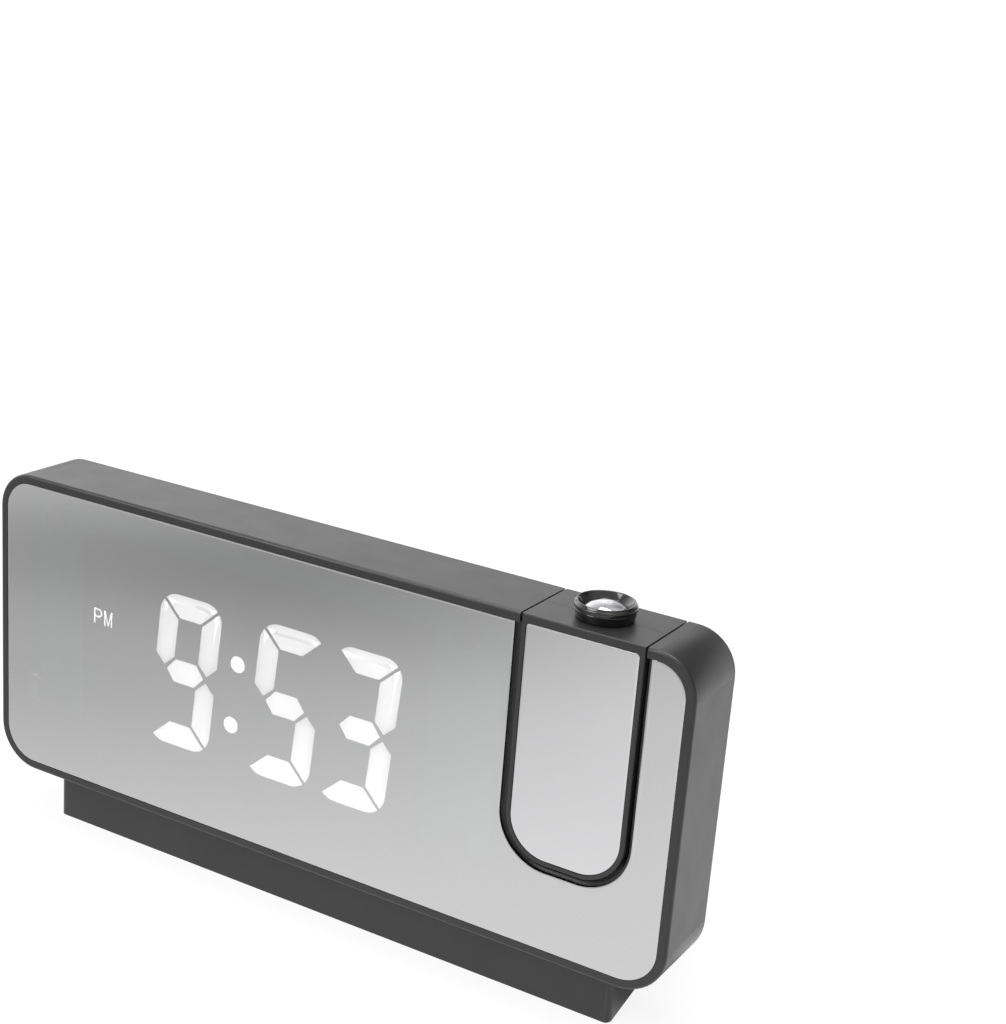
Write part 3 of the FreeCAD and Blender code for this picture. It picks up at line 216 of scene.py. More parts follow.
class Tree:
    """A material's node tree and the few joints that every finish uses."""

    def __init__(self, name: str) -> None:
        """Makes an empty material with a shader.

        Args:
            name: the finish's name.
        """
        self.material = bpy.data.materials.new(name)
        self.material.use_nodes = True
        self.nodes = self.material.node_tree.nodes
        self.nodes.clear()
        self.shader = self.add("ShaderNodeBsdfPrincipled")
        output = self.add("ShaderNodeOutputMaterial")
        self.link(self.shader.outputs["BSDF"], output.inputs["Surface"])
        self.place = self.add("ShaderNodeTexCoord").outputs["Object"]

    def add(self, kind: str) -> Node:
        """Adds a node of a kind."""
        return self.nodes.new(kind)

    def link(self, source: bpy.types.NodeSocket, target: bpy.types.NodeSocket) -> None:
        """Joins two sockets."""
        self.material.node_tree.links.new(source, target)

    def noise(self, scale: float, detail: float) -> bpy.types.NodeSocket:
        """A cloudy pattern in the clock's own frame.

        Args:
            scale: features per metre.
            detail: how many finer layers it has.

        Returns:
            The pattern's value socket.
        """
        node = self.add("ShaderNodeTexNoise")
        node.inputs["Scale"].default_value = scale
        node.inputs["Detail"].default_value = detail
        self.link(self.place, node.inputs["Vector"])
        return node.outputs["Fac"]

    def ramp(self, value: bpy.types.NodeSocket, low: Colour, high: Colour) -> bpy.types.NodeSocket:
        """A colour between two, by a value around its middle.

        Args:
            value: the value that chooses.
            low: the colour at 0.3 and under.
            high: the colour at 0.7 and over.

        Returns:
            The colour socket.
        """
        node = self.add("ShaderNodeValToRGB")
        first, last = node.color_ramp.elements
        first.position, last.position = 0.3, 0.7
        first.color, last.color = (*low, 1.0), (*high, 1.0)
        self.link(value, node.inputs["Fac"])
        return node.outputs["Color"]

    def spread(self, value: bpy.types.NodeSocket, low: float, high: float) -> bpy.types.NodeSocket:
        """A value from 0 to 1 stretched to run from low to high."""
        node = self.add("ShaderNodeMapRange")
        node.inputs["To Min"].default_value = low
        node.inputs["To Max"].default_value = high
        self.link(value, node.inputs["Value"])
        return node.outputs["Result"]

    def by_distance(self, centre: Place, inner: float, outer: float, low: float,
                    high: float) -> bpy.types.NodeSocket:
        """A value that changes smoothly with the distance from a point, in metres.

        Args:
            centre: the point.
            inner, outer: the distances where the change starts and ends.
            low, high: the value at and before the start, and at and past the end.

        Returns:
            The value's socket.
        """
        distance = self.add("ShaderNodeVectorMath")
        distance.operation = "DISTANCE"
        self.link(self.place, distance.inputs[0])
        distance.inputs[1].default_value = centre
        node = self.add("ShaderNodeMapRange")
        node.interpolation_type = "SMOOTHSTEP"
        for name, value in (("From Min", inner), ("From Max", outer), ("To Min", low), ("To Max", high)):
            node.inputs[name].default_value = value
        self.link(distance.outputs["Value"], node.inputs["Value"])
        return node.outputs["Result"]

    def product(self, first: bpy.types.NodeSocket, second: bpy.types.NodeSocket) -> bpy.types.NodeSocket:
        """Two values multiplied."""
        node = self.add("ShaderNodeMath")
        node.operation = "MULTIPLY"
        self.link(first, node.inputs[0])
        self.link(second, node.inputs[1])
        return node.outputs["Value"]

    def bump(self, height: bpy.types.NodeSocket, distance: float) -> bpy.types.NodeSocket:
        """A normal raised by a height pattern.

        Args:
            height: the pattern.
            distance: the grain's height in metres.

        Returns:
            The normal socket.
        """
        node = self.add("ShaderNodeBump")
        node.inputs["Strength"].default_value = 1.0
        node.inputs["Distance"].default_value = distance
        self.link(height, node.inputs["Height"])
        return node.outputs["Normal"]


SATIN_BLACK = Finish("satin_black_shell", (0.022, 0.022, 0.023), roughness=0.36, specular=0.5)
SATIN_COVER = Finish("satin_black_cover", (0.020, 0.020, 0.021), roughness=0.42, grain_scale=4200.0,
                     grain_height=0.000012)
SATIN_KEY = Finish("satin_black_key", (0.018, 0.018, 0.019), roughness=0.34)
GLOSS_BLACK = Finish("gloss_black_ring", (0.008, 0.008, 0.009), roughness=0.14, coat=0.6, coat_roughness=0.05,
                     grain_height=0.0000008, rough_spread=0.03)
MATTE_BLACK = Finish("matte_black_inner", (0.012, 0.012, 0.012), roughness=0.7)
SMOKY_MIRROR = HalfMirror("smoky_half_mirror", (0.76, 0.76, 0.77), roughness=0.045, metallic=1.0,
                          cloud_scale=9.0, cloud_spread=0.03, grain_height=0.0, rough_spread=0.01,
                          opacity=0.80)
CLEAR_BACK = HalfMirror("clear_sheet_back", (0.5, 0.5, 0.5), roughness=0.2, cloud_spread=0.03, grain_height=0.0,
                        rough_spread=0.01, specular=0.1, opacity=0.05)
ARM_MIRROR = Finish("arm_silver_mirror", (0.70, 0.70, 0.71), roughness=0.05, metallic=1.0, cloud_scale=12.0,
                    cloud_spread=0.03, grain_height=0.0, rough_spread=0.01)
DIGIT_GLOW = LitWhite("digit_glow", (0.9, 0.9, 0.92), roughness=0.5, attribute="glow", glow=2.1)
PLAIN_GLOW = LitWhite("plain_glow", (0.9, 0.9, 0.92), roughness=0.5)
SIGN_GLOW = LitWhite("sign_glow", (0.9, 0.9, 0.92), roughness=0.5, attribute="glow")
BOARD_GREEN = Finish("board_green", (0.006, 0.024, 0.014), roughness=0.45, specular=0.2)
BRIGHT_STEEL = Finish("bright_steel", (0.55, 0.55, 0.57), roughness=0.28, metallic=1.0)
DARK_SCREW = Finish("dark_screw", (0.08, 0.08, 0.085), roughness=0.35, metallic=1.0)
BRASS_STRIP = Finish("brass_strip", (0.70, 0.52, 0.22), roughness=0.3, metallic=1.0)
CELL_STEEL = Finish("cell_steel_polished", (0.7, 0.7, 0.72), roughness=0.2, metallic=1.0)
PAPER_WHITE = Finish("label_paper", (0.68, 0.68, 0.67), roughness=0.6, specular=0.3, cloud_spread=0.03,
                     grain_scale=2600.0)
PRINT_BLACK = Finish("label_print", (0.03, 0.03, 0.035), roughness=0.6)
FOAM = Finish("grey_foam", (0.05, 0.05, 0.05), roughness=0.9, grain_scale=2500.0, grain_height=0.00005)
CONE_PAPER = Finish("cone_paper", (0.03, 0.03, 0.03), roughness=0.75, grain_scale=2500.0, grain_height=0.00002)
CHIP = Finish("chip_yellow", (0.75, 0.62, 0.18), roughness=0.25, coat=0.4)
COATED_GLASS = ClearGlass("coated_lens_glass", (0.80, 0.80, 0.82), roughness=0.03, metallic=0.55, ior=1.52,
                          cloud_spread=0.01, grain_height=0.0, rough_spread=0.0)
WELL_BLACK = Finish("well_black", (0.004, 0.004, 0.004), roughness=0.85, specular=0.1)
LENS_GLASS = ClearGlass("lens_glass", (0.95, 0.97, 1.0), roughness=0.02, ior=1.52, cloud_spread=0.01,
                        grain_height=0.0, rough_spread=0.0)


# Shapes worked out on grids


def rounded_outline(x0: float, x1: float, v0: float, v1: float, radii: Sequence[float],
                    corner_steps: int = 14) -> np.ndarray:
    """A rectangle with round corners, as points in order against the clock.

    Each corner is a quarter circle: centre plus radius times the cosine and sine of an even run of angles.

    Args:
        x0, x1: left and right.
        v0, v1: bottom and top.
        radii: of the top right, top left, bottom left and bottom right corners.
        corner_steps: points along each corner.

    Returns:
        An array of (x, v) points.
    """
    centres = np.array([(x1 - radii[0], v1 - radii[0]), (x0 + radii[1], v1 - radii[1]),
                        (x0 + radii[2], v0 + radii[2]), (x1 - radii[3], v0 + radii[3])])
    angles = np.radians(np.arange(4)[:, None] * 90.0 + np.linspace(0.0, 90.0, corner_steps)[None, :])
    spokes = np.stack([np.cos(angles), np.sin(angles)], axis=-1)
    points = centres[:, None, :] + np.asarray(radii)[:, None, None] * spokes
    return points.reshape(-1, 2)


def inset(outline: np.ndarray, amount: float) -> np.ndarray:
    """The outline drawn in by an amount.

    Each point moves along the mean of its two edges' inward normals, further where they meet at a corner.

    Args:
        outline: (x, v) points in order against the clock.
        amount: how far in, in millimetres; negative is outwards.

    Returns:
        As many points, moved.
    """
    forward = np.roll(outline, -1, axis=0) - outline
    forward /= np.maximum(np.linalg.norm(forward, axis=1, keepdims=True), 1e-9)
    normal = np.stack([-forward[:, 1], forward[:, 0]], axis=1)
    before = np.roll(normal, 1, axis=0)
    mean = normal + before
    mean /= np.maximum(np.linalg.norm(mean, axis=1, keepdims=True), 1e-9)
    share = np.clip((mean * normal).sum(axis=1, keepdims=True), 0.35, 1.0)
    return outline + mean / share * amount


def unique_outline(outline: np.ndarray) -> np.ndarray:
    """The outline without repeated points."""
    gap = np.linalg.norm(np.roll(outline, -1, axis=0) - outline, axis=1)
    return outline[gap > 1e-6]


def grid_faces(rings: int, around: int, caps: bool = True) -> list[list[int]]:
    """Four-cornered faces between rings of points, with a flat cap at each end.

    Face (i, j) joins points j and j + 1 of rings i and i + 1.

    Args:
        rings: how many rings.
        around: points in each ring.
        caps: whether the two end rings are closed.

    Returns:
        Lists of point numbers.
    """
    index = np.arange(rings * around).reshape(rings, around)
    beside = np.roll(index, -1, axis=1)
    faces = np.stack([index[:-1], beside[:-1], beside[1:], index[1:]], axis=-1).reshape(-1, 4).tolist()
    if caps:
        faces.append(index[0, ::-1].tolist())
        faces.append(index[-1].tolist())
    return faces


@dataclass
class Shape:
    """Points in metres, their faces, an optional value for each point, and whether the last face is clear."""

    points: np.ndarray
    faces: list[list[int]]
    values: np.ndarray | None = None
    last_face_clear: bool = False

    @staticmethod
    def joined(shapes: Sequence["Shape"]) -> "Shape":
        """Several shapes as one, their point numbers carried on."""
        faces: list[list[int]] = []
        start = 0
        for shape in shapes:
            faces += [[start + corner for corner in face] for face in shape.faces]
            start += len(shape.points)
        values = None
        if all(shape.values is not None for shape in shapes):
            values = np.concatenate([shape.values for shape in shapes])
        return Shape(np.concatenate([shape.points for shape in shapes]), faces, values)


def plate(outline: np.ndarray, steps: Path) -> Shape:
    """A flat piece with a shaped edge: the outline repeated at each (inset, depth) step.

    Args:
        outline: (x, v) points in millimetres.
        steps: how far in and how deep each ring lies, from one face to the other.

    Returns:
        The closed shape.
    """
    outline = unique_outline(outline)
    rings = [inset(outline, amount) for amount, _ in steps]
    points = [BODY.place(ring[:, 0], depth, ring[:, 1]) for ring, (_, depth) in zip(rings, steps)]
    return Shape(np.concatenate(points), grid_faces(len(steps), len(outline)))


def polished_front(flat: float, polish: float, front: float) -> list[tuple[float, float]]:
    """A sheet's front rings, from a flat middle over a small round edge.

    Args:
        flat: how far in the flat middle starts, which keeps the edge's shading off it.
        polish: the round edge's size.
        front: the front face's depth.

    Returns:
        The (inset, depth) steps.
    """
    return [(flat, front), (polish, front), (polish * 0.3, front + polish * 0.3), (0.0, front + polish)]


def turned(profile: Path, centre: tuple[float, float], axis: Across, around: int = 96,
           closed: bool = True) -> Shape:
    """A profile turned about a line: each (radius, place) point becomes a circle.

    Args:
        profile: radius and place along the line, in millimetres.
        centre: across and the other fixed coordinate: (x, v) about the depth, (x, w) about the height.
        axis: the line's direction.
        around: points in each circle.
        closed: whether the profile's last point joins its first.

    Returns:
        The shape.
    """
    line = np.asarray(profile, float)
    if closed:
        line = np.concatenate([line, line[:1]])
    angle = np.linspace(0.0, 2.0 * np.pi, around, endpoint=False)
    radius, place = line[:, 0][:, None], line[:, 1][:, None]
    first = centre[0] + radius * np.cos(angle)[None, :]
    second = centre[1] + radius * np.sin(angle)[None, :]
    place = np.broadcast_to(place, first.shape)
    if axis is Across.DEPTH:
        points = BODY.place(first, place, second)
    else:
        points = BODY.place(first, second, place)
    return Shape(points.reshape(-1, 3), grid_faces(len(line), around, caps=False))


def arc(cx: float, cy: float, radius: float, start: float, end: float,
        steps: int = 7) -> list[tuple[float, float]]:
    """Points along a circle's arc between two angles in degrees."""
    angle = np.radians(np.linspace(start, end, steps))
    return list(zip(cx + radius * np.cos(angle), cy + radius * np.sin(angle)))


class Maker:
    """Turns shapes into pieces that ride on the clock's bodies."""

    def piece(self, name: str, shape: Shape, finish: Finish, body: str, slot: str,
              replaces: Iterable[str] = (), crease: float = 32.0) -> bpy.types.Object:
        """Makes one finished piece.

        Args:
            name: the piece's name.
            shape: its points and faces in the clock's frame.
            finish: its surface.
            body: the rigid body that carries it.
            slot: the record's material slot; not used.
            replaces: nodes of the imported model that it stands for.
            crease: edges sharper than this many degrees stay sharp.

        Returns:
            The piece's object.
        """
        mesh = bpy.data.meshes.new(name)
        mesh.from_pydata(shape.points.tolist(), [], shape.faces)
        if shape.values is not None:
            layer = mesh.attributes.new("glow", "FLOAT", "POINT")
            layer.data.foreach_set("value", shape.values.astype(np.float32))
        if shape.last_face_clear:
            mesh.polygons[len(shape.faces) - 1].material_index = 1
        work = bmesh.new()
        work.from_mesh(mesh)
        bmesh.ops.remove_doubles(work, verts=work.verts, dist=1e-7)
        bmesh.ops.recalc_face_normals(work, faces=work.faces)
        work.to_mesh(mesh)
        work.free()
        mesh.polygons.foreach_set("use_smooth", np.ones(len(mesh.polygons), bool))
        mesh.set_sharp_from_angle(angle=math.radians(crease))
        piece = bpy.data.objects.new(name, mesh)
        bpy.context.scene.collection.objects.link(piece)
        mesh.materials.append(finish.material())
        if shape.last_face_clear:
            mesh.materials.append(CLEAR_BACK.material())
        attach(piece, body)
        if replaces:
            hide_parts(*replaces)
        log.info("%s: %d faces on %s", name, len(mesh.polygons), body)
        return piece


# Pieces


@dataclass
class MirrorFront:
    """The half-mirror sheet, with its notch for the arm and its polished edge."""

    border: float = 2.25
    top_radius: float = 7.15
    bottom_radius: float = 8.75
    notch_gap: float = 1.55
    front: float = 0.05
    back: float = 1.55
    polish: float = 0.14
    flat: float = 0.4
    back_edge: float = 0.1
    corner_steps: int = 22
    notch_steps: int = 24

    def outline(self) -> np.ndarray:
        """The sheet's outline: the body's own, drawn in, with a round-bottomed notch from the top."""
        half = BODY.width / 2 - self.border
        top = BODY.height - self.border
        whole = rounded_outline(-half, half, self.border, top,
                                (self.top_radius, self.top_radius, self.bottom_radius, self.bottom_radius),
                                self.corner_steps)
        left = BODY.arm_x - BODY.arm_half - self.notch_gap
        right = BODY.arm_x + BODY.arm_half + self.notch_gap
        radius = BODY.arm_corner + self.notch_gap
        middle = BODY.arm_bottom - self.notch_gap + radius
        down = arc(right - radius, middle, radius, 0.0, -90.0, self.notch_steps)
        up = arc(left + radius, middle, radius, -90.0, -180.0, self.notch_steps)
        notch = np.concatenate([[(right, top)], down, up, [(left, top)]])
        return np.concatenate([whole[:self.corner_steps], notch, whole[self.corner_steps:]])

    def build(self, maker: Maker) -> None:
        """Makes the sheet with a small polished edge on its front and an uncoated back."""
        steps = polished_front(self.flat, self.polish, self.front)
        steps += [(0.0, self.back - self.back_edge), (0.0, self.back), (self.back_edge, self.back)]
        sheet = plate(self.outline(), steps)
        sheet.last_face_clear = True
        maker.piece("mirror_sheet", sheet, SMOKY_MIRROR, Body.CLOCK.value, "mirror_grey", ["mirror_panel"])


@dataclass
class ArmMirror:
    """The mirror inlay on the arm, a little crowned at its edge."""

    border: float = 1.15
    top_border: float = 1.95
    radius: float = 9.35
    top_radius: float = 0.75
    front: float = 0.05
    back: float = 1.25
    polish: float = 0.22
    flat: float = 0.5

    def build(self, maker: Maker) -> None:
        """Makes the inlay."""
        left = BODY.arm_x - BODY.arm_half + self.border
        right = BODY.arm_x + BODY.arm_half - self.border
        outline = rounded_outline(left, right, BODY.arm_bottom + self.border, BODY.height - self.top_border,
                                  (self.top_radius, self.top_radius, self.radius, self.radius), 22)
        steps = polished_front(self.flat, self.polish, self.front) + [(0.0, self.back)]
        maker.piece("arm_mirror_inlay", plate(outline, steps), ARM_MIRROR, Body.ARM.value,
                    "mirror_grey", ["arm_mirror"])


@dataclass
class Digits:
    """The three lit digits, each a set of mitred bars leaning to the right."""

    slant: float = 0.091
    middle: float = 38.55
    half_width: float = 9.2
    half_height: float = 19.45
    corner: float = 5.0
    bar_height: float = 5.9
    bar_width: float = 5.65
    mitre_gap: float = 0.7
    front: float = 1.9
    back: float = 5.9
    edge: float = 0.06
    ring_insets: tuple[float, ...] = (1.9, 1.0, 0.3)
    ring_reaches: tuple[float, ...] = (0.35, 0.6, 0.9, 1.0)
    tall_base: float = 0.90
    tall_drop: float = 0.32
    flat_base: float = 1.0
    flat_drop: float = 0.15
    shown: tuple[tuple[float, str], ...] = ((-36.85, "abcdfg"), (-7.4, "acdfg"), (13.5, "abcdg"))

    def corner_points(self, start: float, end: float) -> np.ndarray:
        """Points round the top right corner between two angles from straight up, in degrees."""
        angle = np.radians(np.linspace(start, end, 9))
        x = self.half_width - self.corner + self.corner * np.sin(angle)
        v = self.half_height - self.corner + self.corner * np.cos(angle)
        return np.stack([x, v], axis=1)

    def bars(self) -> dict[str, np.ndarray]:
        """The seven bars' outlines about the digit's middle."""
        inner_x = self.half_width - self.bar_width
        inner_v = self.half_height - self.bar_height
        mitre = self.mitre_gap / math.sqrt(2.0)
        half = self.bar_height / 2
        right = self.corner_points(0.0, 45.0)
        left = right[::-1] * (-1.0, 1.0)
        top = np.concatenate([left, right, [(inner_x - mitre, inner_v), (-inner_x + mitre, inner_v)]])
        tip = self.half_width - self.bar_width / 2
        upper = np.concatenate([self.corner_points(53.0, 90.0), [
            (self.half_width, half + mitre), (tip, mitre * 1.6), (inner_x, half + mitre),
            (inner_x, inner_v - mitre)]])
        middle = np.array([
            (tip - mitre * 1.6, 0.0), (inner_x - mitre, half), (-inner_x + mitre, half),
            (-tip + mitre * 1.6, 0.0), (-inner_x + mitre, -half), (inner_x - mitre, -half)])
        return {"a": top, "b": upper, "c": upper * (1, -1), "d": top * (1, -1), "e": upper * (-1, -1),
                "f": upper * (-1, 1), "g": middle}

    def bar(self, outline: np.ndarray, centre: float) -> Shape:
        """One lit bar: its front is rings drawn in towards its middle, and its glow stays off its sides.

        Args:
            outline: the bar's outline about its digit's middle.
            centre: the digit's place across.

        Returns:
            The bar's shape.
        """
        area = np.sum(outline[:, 0] * np.roll(outline[:, 1], -1) - outline[:, 1] * np.roll(outline[:, 0], -1))
        if area < 0:
            outline = outline[::-1]
        across = centre + outline[:, 0] + outline[:, 1] * self.slant
        placed = np.stack([across, self.middle + outline[:, 1]], axis=1)
        steps = [(amount, self.front) for amount in (*self.ring_insets, self.edge)]
        steps += [(0.0, self.front + self.edge), (0.0, self.back)]
        shape = plate(placed, steps)
        shape.values = self.glow(outline, steps)
        return shape

    def glow(self, outline: np.ndarray, steps: Path) -> np.ndarray:
        """How bright each point is: full at the bar's middle and less towards its ends.

        The value falls with the square of the distance along the bar, as a share of half its length, and more
        in a tall bar than in a flat one.

        Args:
            outline: the bar's outline about its digit's middle.
            steps: the bar's rings, as plate takes them.

        Returns:
            One value for each point of each ring.
        """
        size = np.ptp(outline, axis=0)
        tall = size[1] > size[0]
        along = outline[:, 1] if tall else outline[:, 0]
        share = (along - along.mean()) / (size.max() / 2)
        base, drop = (self.tall_base, self.tall_drop) if tall else (self.flat_base, self.flat_drop)
        rings = [base - drop * np.clip(share * reach, -1, 1) ** 2 for reach in self.ring_reaches]
        rings += [np.zeros(len(share))] * (len(steps) - len(rings))
        return np.clip(np.concatenate(rings), 0.0, 1.0)

    def build(self, maker: Maker) -> None:
        """Makes every lit bar as one piece."""
        outlines = self.bars()
        shapes = [self.bar(outlines[letter], centre) for centre, letters in self.shown for letter in letters]
        maker.piece("lit_digits", Shape.joined(shapes), DIGIT_GLOW, Body.CLOCK.value, "light_white",
                    ["digit_lights"])


@dataclass
class AfternoonSign:
    """The two small lit letters beside the first digit, drawn with even strokes."""

    left: float = -65.4
    bottom: float = 44.15
    height: float = 4.0
    width: float = 2.6
    space: float = 0.6
    stroke: float = 0.42
    bowl: float = 0.95
    valley_top: float = 0.2
    valley_bottom: float = 0.35
    edge: float = 0.03
    front: float = 1.9
    back: float = 5.9

    def stroke_shape(self, path: Path) -> Shape:
        """One even stroke along a path: the path moved half a stroke to each side, with mitred corners.

        Args:
            path: (x, v) points from the letter's lower left.

        Returns:
            The stroke as a closed bar.
        """
        line = np.asarray(path, float) + (self.left, self.bottom)
        along = np.diff(line, axis=0)
        along /= np.linalg.norm(along, axis=1, keepdims=True)
        side = np.stack([-along[:, 1], along[:, 0]], axis=1)
        before = np.concatenate([side[:1], side])
        after = np.concatenate([side, side[-1:]])
        mean = before + after
        mean /= np.linalg.norm(mean, axis=1, keepdims=True)
        share = np.clip((mean * after).sum(axis=1, keepdims=True), 0.5, 1.0)
        offset = mean / share * self.stroke / 2
        sides = np.array([1.0, -1.0, -1.0, -1.0, 1.0, 1.0])
        step = self.front + self.edge
        depths = np.array([self.front, self.front, step, self.back, self.back, step])
        rings = line[:, None, :] + offset[:, None, :] * sides[None, :, None]
        points = BODY.place(rings[..., 0], depths[None, :], rings[..., 1])
        lit = np.tile([1.0, 1.0, 0.0, 0.0, 0.0, 0.0], len(line))
        return Shape(points.reshape(-1, 3), grid_faces(len(line), len(sides)), lit)

    def build(self, maker: Maker) -> None:
        """Makes both letters as one piece."""
        h, w, half = self.height, self.width, self.stroke / 2
        bowl = arc(w - half - self.bowl, h - half - self.bowl, self.bowl, 90.0, -90.0, 9)
        stem = [(half, 0.0), (half, h)]
        loop = [(half, h - half)] + bowl + [(half, h - half - self.bowl * 2)]
        start = w + self.space
        left = [(start + half, 0.0), (start + half, h)]
        shoulder = h - self.valley_top
        valley = [(start + half, shoulder), (start + w / 2, self.valley_bottom), (start + w - half, shoulder)]
        right = [(start + w - half, 0.0), (start + w - half, h)]
        shapes = [self.stroke_shape(path) for path in (stem, loop, left, valley, right)]
        maker.piece("lit_sign", Shape.joined(shapes), SIGN_GLOW, Body.CLOCK.value, "light_white",
                    ["afternoon_sign"])


@dataclass
class FocusRing:
    """The grooved ring round the lens: two rounded bands, a funnel and a stem."""

    radius: float = 6.8
    height: float = 3.72
    bore: float = 4.55
    stem_radius: float = 5.6
    stem: float = 5.0
    gap: float = 0.1
    rounding: float = 0.3
    band_height: float = 1.92
    groove_depth: float = 0.14
    groove_lip: float = 0.1
    shoulder: float = 0.5
    lip: float = 0.62
    funnel: tuple[tuple[float, float], ...] = ((1.12, 0.45), (1.6, 1.05), (1.85, 1.3))
    funnel_foot: float = 1.6
    funnel_end: float = 1.9

    def build(self, maker: Maker) -> None:
        """Makes the ring from a profile turned about the arm's upright line.

        A lower band widens upwards, a shallow groove parts it from a rounded upper band, and a thin lip leads
        into a wide funnel.
        """
        low = BODY.height + self.gap
        top = BODY.height + self.height
        edge = self.radius
        profile = [(self.bore, BODY.height - self.stem), (self.stem_radius, BODY.height - self.stem),
                   (self.stem_radius, low), (edge - 0.75, low)]
        profile += arc(edge - 0.78, low + self.rounding, self.rounding, -90.0, -10.0, 5)
        profile += [(edge - 0.26, low + 1.0), (edge - 0.06, low + self.band_height),
                    (edge - self.groove_depth, low + 2.02), (edge - self.groove_depth, low + 2.1)]
        profile += arc(edge - self.groove_lip, low + 2.24, self.groove_lip, -60.0, 0.0, 4)
        profile += arc(edge - self.shoulder, low + 2.7, self.shoulder, 0.0, 60.0, 8)
        profile += arc(edge - self.lip, top - self.rounding, self.rounding, 60.0, 150.0, 9)
        profile += [(edge - across, top - down) for across, down in self.funnel]
        profile += [(self.bore + 0.12, top - self.funnel_foot), (self.bore, top - self.funnel_end)]
        shape = turned(profile, (BODY.arm_x, BODY.depth / 2), Across.HEIGHT, 144)
        maker.piece("grooved_focus_ring", shape, GLOSS_BLACK, Body.RING.value, "ring_black", ["focus_ring"])


@dataclass
class FrontLens:
    """The front lens and the bright-edged barrel round it."""

    barrel: float = 4.5
    bore: float = 3.5
    radius: float = 4.0
    dome_radius: float = 4.35
    dome_rise: float = 1.12
    dome_seat: float = 0.15
    under_rise: float = 0.6
    thickness: float = 2.9
    edge: float = 0.15
    play: float = 0.02
    drop: float = 1.5
    length: float = 11.0
    ring_height: float = 3.8

    def build(self, maker: Maker) -> None:
        """Makes the barrel with its stepped mouth, and the domed lens in it."""
        top = BODY.height + self.ring_height - self.drop
        low = top - self.length
        profile = [(self.bore, low), (self.barrel, low)]
        profile += arc(self.barrel - self.edge, top - self.edge, self.edge, 0.0, 90.0, 5)
        profile += [(self.radius + 0.1, top), (self.radius + 0.01, top - 0.12),
                    (self.radius + 0.01, top - self.thickness), (self.bore, top - self.thickness)]
        centre = (BODY.arm_x, BODY.depth / 2)
        maker.piece("lens_mount", turned(profile, centre, Across.HEIGHT, 120), GLOSS_BLACK, Body.LENS.value,
                    "ring_black", ["lens_barrel"])
        across = np.linspace(0.0, self.dome_radius, 24)
        share = (across / self.dome_radius) ** 2
        dome = top + self.dome_seat + self.dome_rise * (1.0 - share)
        under = top - self.thickness + self.under_rise * share
        inside = self.radius - self.play
        rim = [(self.dome_radius, top + self.play), (inside, top + self.play), (inside, top - 2.3)]
        outline = list(zip(across, dome)) + rim + list(zip(across[::-1], under[::-1]))[2:]
        maker.piece("domed_lens", turned(outline, centre, Across.HEIGHT, 96, closed=False), COATED_GLASS,
                    Body.LENS.value, "glass", ["projection_lens"])


